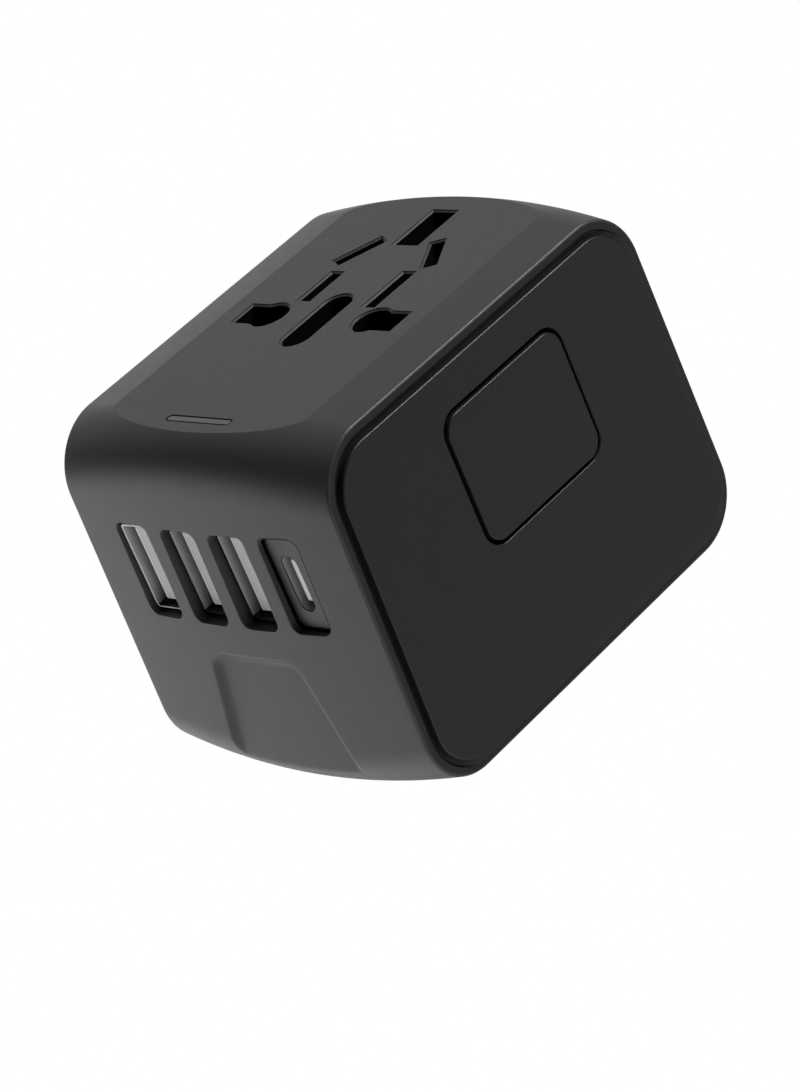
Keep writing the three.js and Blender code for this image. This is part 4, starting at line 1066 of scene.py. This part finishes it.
def pins():
    for side, hand, pole in ((-1, "left", "neutral"), (1, "right", "live")):
        x = side * EU_SPACING / 2
        _, _, pin_z = cad(f"eu_pin_{hand}")
        _, _, sleeve_z = cad(f"eu_sleeve_{hand}")
        neck = sleeve_z[0] - 2 * GAP
        core = EU_PIN_R - SLEEVE_WALL
        steps = [(r, pin_z[0] + z) for r, z in EU_TIP]
        steps += [(EU_PIN_R, neck - SLEEVE_CHAMFER), (EU_PIN_R - SLEEVE_CHAMFER, neck),
                  (core, neck), (core, pin_z[1])]
        placed(rod(f"round_pin_{hand}", x, EU_Y, steps), "nickel", "eu_slider",
               f"eu_pin_{hand}")
        inner = EU_PIN_R - SLEEVE_INNER
        steps = [(inner, sleeve_z[1]), (EU_PIN_R, sleeve_z[1]),
                 (EU_PIN_R, sleeve_z[0] + SLEEVE_CHAMFER),
                 (EU_PIN_R - SLEEVE_CHAMFER, sleeve_z[0]), (inner, sleeve_z[0])]
        placed(ring_body(f"round_pin_sleeve_{hand}", x, EU_Y, steps), "sleeve", "eu_slider",
               f"eu_sleeve_{hand}")

        _, _, line_z = cad(f"uk_pin_{pole}")
        flat_pin(f"line_pin_{pole}", f"uk_pin_{pole}", "brass", "uk_slider", PIN_EDGE, 0.8,
                 line_z[0] + UK_BARE_TIP, SLEEVE_WALL)
        xs, ys, zs = cad(f"uk_sleeve_{pole}")
        shape = outline(xs, ys, 0.4, (5, 5, 5, 5))
        hollow = grown(shape, -SLEEVE_INNER)
        placed(sleeve_body(f"line_pin_sleeve_{pole}", shape, hollow, zs), "sleeve", "uk_slider",
               f"uk_sleeve_{pole}")

        flat_pin(f"blade_{hand}", f"us_blade_{hand}", "nickel", f"us_{hand}_blade", 0.2, 0.6)
    flat_pin("earth_pin", "uk_pin_earth", "brass", "uk_slider", PIN_EDGE, 0.8)


def ring_body(name, x, y, steps, count=48):
    """A turned ring about (x, y) whose section is the closed run of (radius, z) steps."""
    points, faces, n = [], [], len(steps)
    for i in range(count):
        a = 2 * math.pi * i / count
        points += [(x + r * math.cos(a), y + r * math.sin(a), z) for r, z in steps]
    for i in range(count):
        for k in range(n):
            a, b = i * n + k, i * n + (k + 1) % n
            c, d = ((i + 1) % count) * n + (k + 1) % n, ((i + 1) % count) * n + k
            faces.append((a, b, c, d))
    return body(name, points, faces)


def sleeve_body(name, outer, inner, zs):
    """A prism-shaped sleeve open at both ends."""
    loops = [along_z(inner, zs[0]), along_z(grown(outer, -SLEEVE_CHAMFER), zs[0]),
             along_z(outer, zs[0] + SLEEVE_CHAMFER), along_z(outer, zs[1]),
             along_z(inner, zs[1])]
    n = len(outer)
    points = [p for loop in loops for p in loop]
    faces = []
    for i in range(len(loops)):
        for j in range(n):
            a, b = i * n + j, i * n + (j + 1) % n
            k = (i + 1) % len(loops)
            faces.append((a, b, k * n + (j + 1) % n, k * n + j))
    return body(name, points, faces)


def fuse_drawer():
    xs, ys, zs = cad("fuse_drawer")
    wall, floor, corner = 0.55, 1.4, 0.4
    loops = [along_z(shrunk(xs, ys, corner, inset), zs[0] + down)
             for inset, down in rounding(0.2, 3)[::-1]]
    loops.append(along_z(shrunk(xs, ys, corner, 0.0), zs[1]))
    well = shrunk(xs, ys, corner, wall)
    loops += [along_z(well, zs[1]), along_z(well, floor)]
    tray = loft("fuse_tray", loops)
    notch = outline((-2.6, 2.6), (ys[0] + 0.5, ys[0] + 1.7), 0.58)
    boolean(tray, "DIFFERENCE", punch(notch, zs[0] + 0.5, zs[0], -1, 0.15))
    placed(tray, "shell", "fuse_drawer", "fuse_drawer", look="flat", level_z=(zs[0],))


# ---------------------------------------------------------------- springs

def spring(name, node, along, turns, wire, joint, travel):
    """A wire coil that fills its node's box."""
    spans = cad(node)
    low, high = spans[along]
    across = [k for k in range(3) if k != along]
    radius = (spans[across[0]][1] - spans[across[0]][0]) / 2 - wire
    middle = [sum(span) / 2 for span in spans]
    loops = []
    for i in range(turns * COIL_STEPS + 1):
        turn = 2 * math.pi * i / COIL_STEPS
        at = lerp(low + wire, high - wire, i / (turns * COIL_STEPS))
        loop = []
        for k in range(WIRE_SIDES):
            b = 2 * math.pi * k / WIRE_SIDES
            point = list(middle)
            point[along] = at + wire * math.sin(b)
            point[across[0]] += (radius + wire * math.cos(b)) * math.cos(turn)
            point[across[1]] += (radius + wire * math.cos(b)) * math.sin(turn)
            loop.append(tuple(point))
        loops.append(loop)
    made = placed(loft(name, loops), "steel", "housing", node, look="nickel")
    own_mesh(made)


# ---------------------------------------------------------------- build

housing()
right_panel()
left_panel()
release_button()
for each in KNOBS:
    knob(each)
for each in (1, 2, 3):
    usb_a(each)
usb_c()
light_window()
pins()
fuse_drawer()
spring("button_spring", "release_spring", 0, *BUTTON_SPRING)
spring("shutter_coil", "shutter_spring", 1, *SHUTTER_SPRING)

for part in frame["record"]["subparts"]:
    node = frame["nodes"][part["node"]]
    if not node.hide_render:
        node.data.materials.clear()
        node.data.materials.append(MATERIALS[part["material_slot"]])

# ---------------------------------------------------------------- floor, light and camera

FLOOR_Z = -900.0
FLOOR_HALF = 12000.0
BACKDROP = 1.0
AMBIENT = 0.0

floor = body("studio_floor", [
    (-FLOOR_HALF, -FLOOR_HALF, FLOOR_Z), (FLOOR_HALF, -FLOOR_HALF, FLOOR_Z),
    (FLOOR_HALF, FLOOR_HALF, FLOOR_Z), (-FLOOR_HALF, FLOOR_HALF, FLOOR_Z)], [(0, 1, 2, 3)])


def white_to_camera(tree, surface, output):
    """Mixes the surface's own light with plain white where the camera sees it directly."""
    white = tree.nodes.new("ShaderNodeEmission" if surface.type == "BSDF_DIFFUSE" else
                           "ShaderNodeBackground")
    white.inputs["Color"].default_value = (BACKDROP, BACKDROP, BACKDROP, 1.0)
    path = tree.nodes.new("ShaderNodeLightPath")
    mix = tree.nodes.new("ShaderNodeMixShader")
    tree.links.new(path.outputs["Is Camera Ray"], mix.inputs["Fac"])
    tree.links.new(surface.outputs[0], mix.inputs[1])
    tree.links.new(white.outputs[0], mix.inputs[2])
    tree.links.new(mix.outputs[0], output.inputs["Surface"])


paper = bpy.data.materials.new("studio_paper")
paper.use_nodes = True
paper.node_tree.nodes.clear()
paper_out = paper.node_tree.nodes.new("ShaderNodeOutputMaterial")
diffuse = paper.node_tree.nodes.new("ShaderNodeBsdfDiffuse")
diffuse.inputs["Color"].default_value = (0.5, 0.5, 0.5, 1.0)
white_to_camera(paper.node_tree, diffuse, paper_out)
floor.data.materials.append(paper)

world = bpy.data.worlds.new("studio")
bpy.context.scene.world = world
world.use_nodes = True
world.node_tree.nodes.clear()
world_out = world.node_tree.nodes.new("ShaderNodeOutputWorld")
ambient = world.node_tree.nodes.new("ShaderNodeBackground")
ambient.inputs["Color"].default_value = (AMBIENT, AMBIENT, AMBIENT, 1.0)
white_to_camera(world.node_tree, ambient, world_out)

bpy.context.scene.view_settings.view_transform = "Standard"

TARGET = Vector((0.0, 0.0, HEIGHT / 2))
LAMP_FAR = 600.0
# name, direction towards the lamp, width of its round face, watts
LAMPS = [
    ("lamp_above_left", (-0.66, 0.38, 0.65), 1200.0, 1.41),
    ("lamp_left", (-0.86, 0.41, -0.29), 840.0, 1.3),
    ("lamp_low_left", (-0.63, -0.52, -0.57), 840.0, 1.99),
    ("lamp_low_front", (0.44, -0.64, -0.62), 840.0, 1.43),
    ("lamp_low_right", (0.64, 0.36, -0.68), 1200.0, 1.18),
    ("lamp_front", (-0.68, -0.73, 0.01), 300.0, 0.31),
    ("lamp_above_right", (0.44, 0.55, 0.71), 240.0, 2.4),
]
for name, way, width, power in LAMPS:
    lamp = bpy.data.lights.new(name, "AREA")
    lamp.shape = "DISK"
    lamp.size = width * MM
    lamp.energy = power
    stand = bpy.data.objects.new(name, lamp)
    direction = Vector(way).normalized()
    stand.location = (TARGET + direction * LAMP_FAR) * MM
    stand.rotation_euler = direction.to_track_quat("Z", "Y").to_euler()
    stand.visible_camera = False
    bpy.context.scene.collection.objects.link(stand)

CAMERA_PLACE = (394.589, -312.059, 264.447)
CAMERA_RIGHT = (0.70271698, 0.61546636, -0.35691736)
CAMERA_UP = (-0.07414057, 0.56227825, 0.82361784)
CAMERA_BACK = (0.70759595, -0.55230819, 0.44075350)
lens = bpy.data.cameras.new("camera")
lens.lens = 139.33
lens.sensor_width = 36.0
lens.clip_start, lens.clip_end = 0.02, 60.0
camera = bpy.data.objects.new("camera", lens)
bpy.context.scene.collection.objects.link(camera)
turn = Matrix((CAMERA_RIGHT, CAMERA_UP, CAMERA_BACK)).transposed().to_4x4()
camera.matrix_world = Matrix.Translation(Vector(CAMERA_PLACE) * MM) @ turn
bpy.context.scene.camera = camera
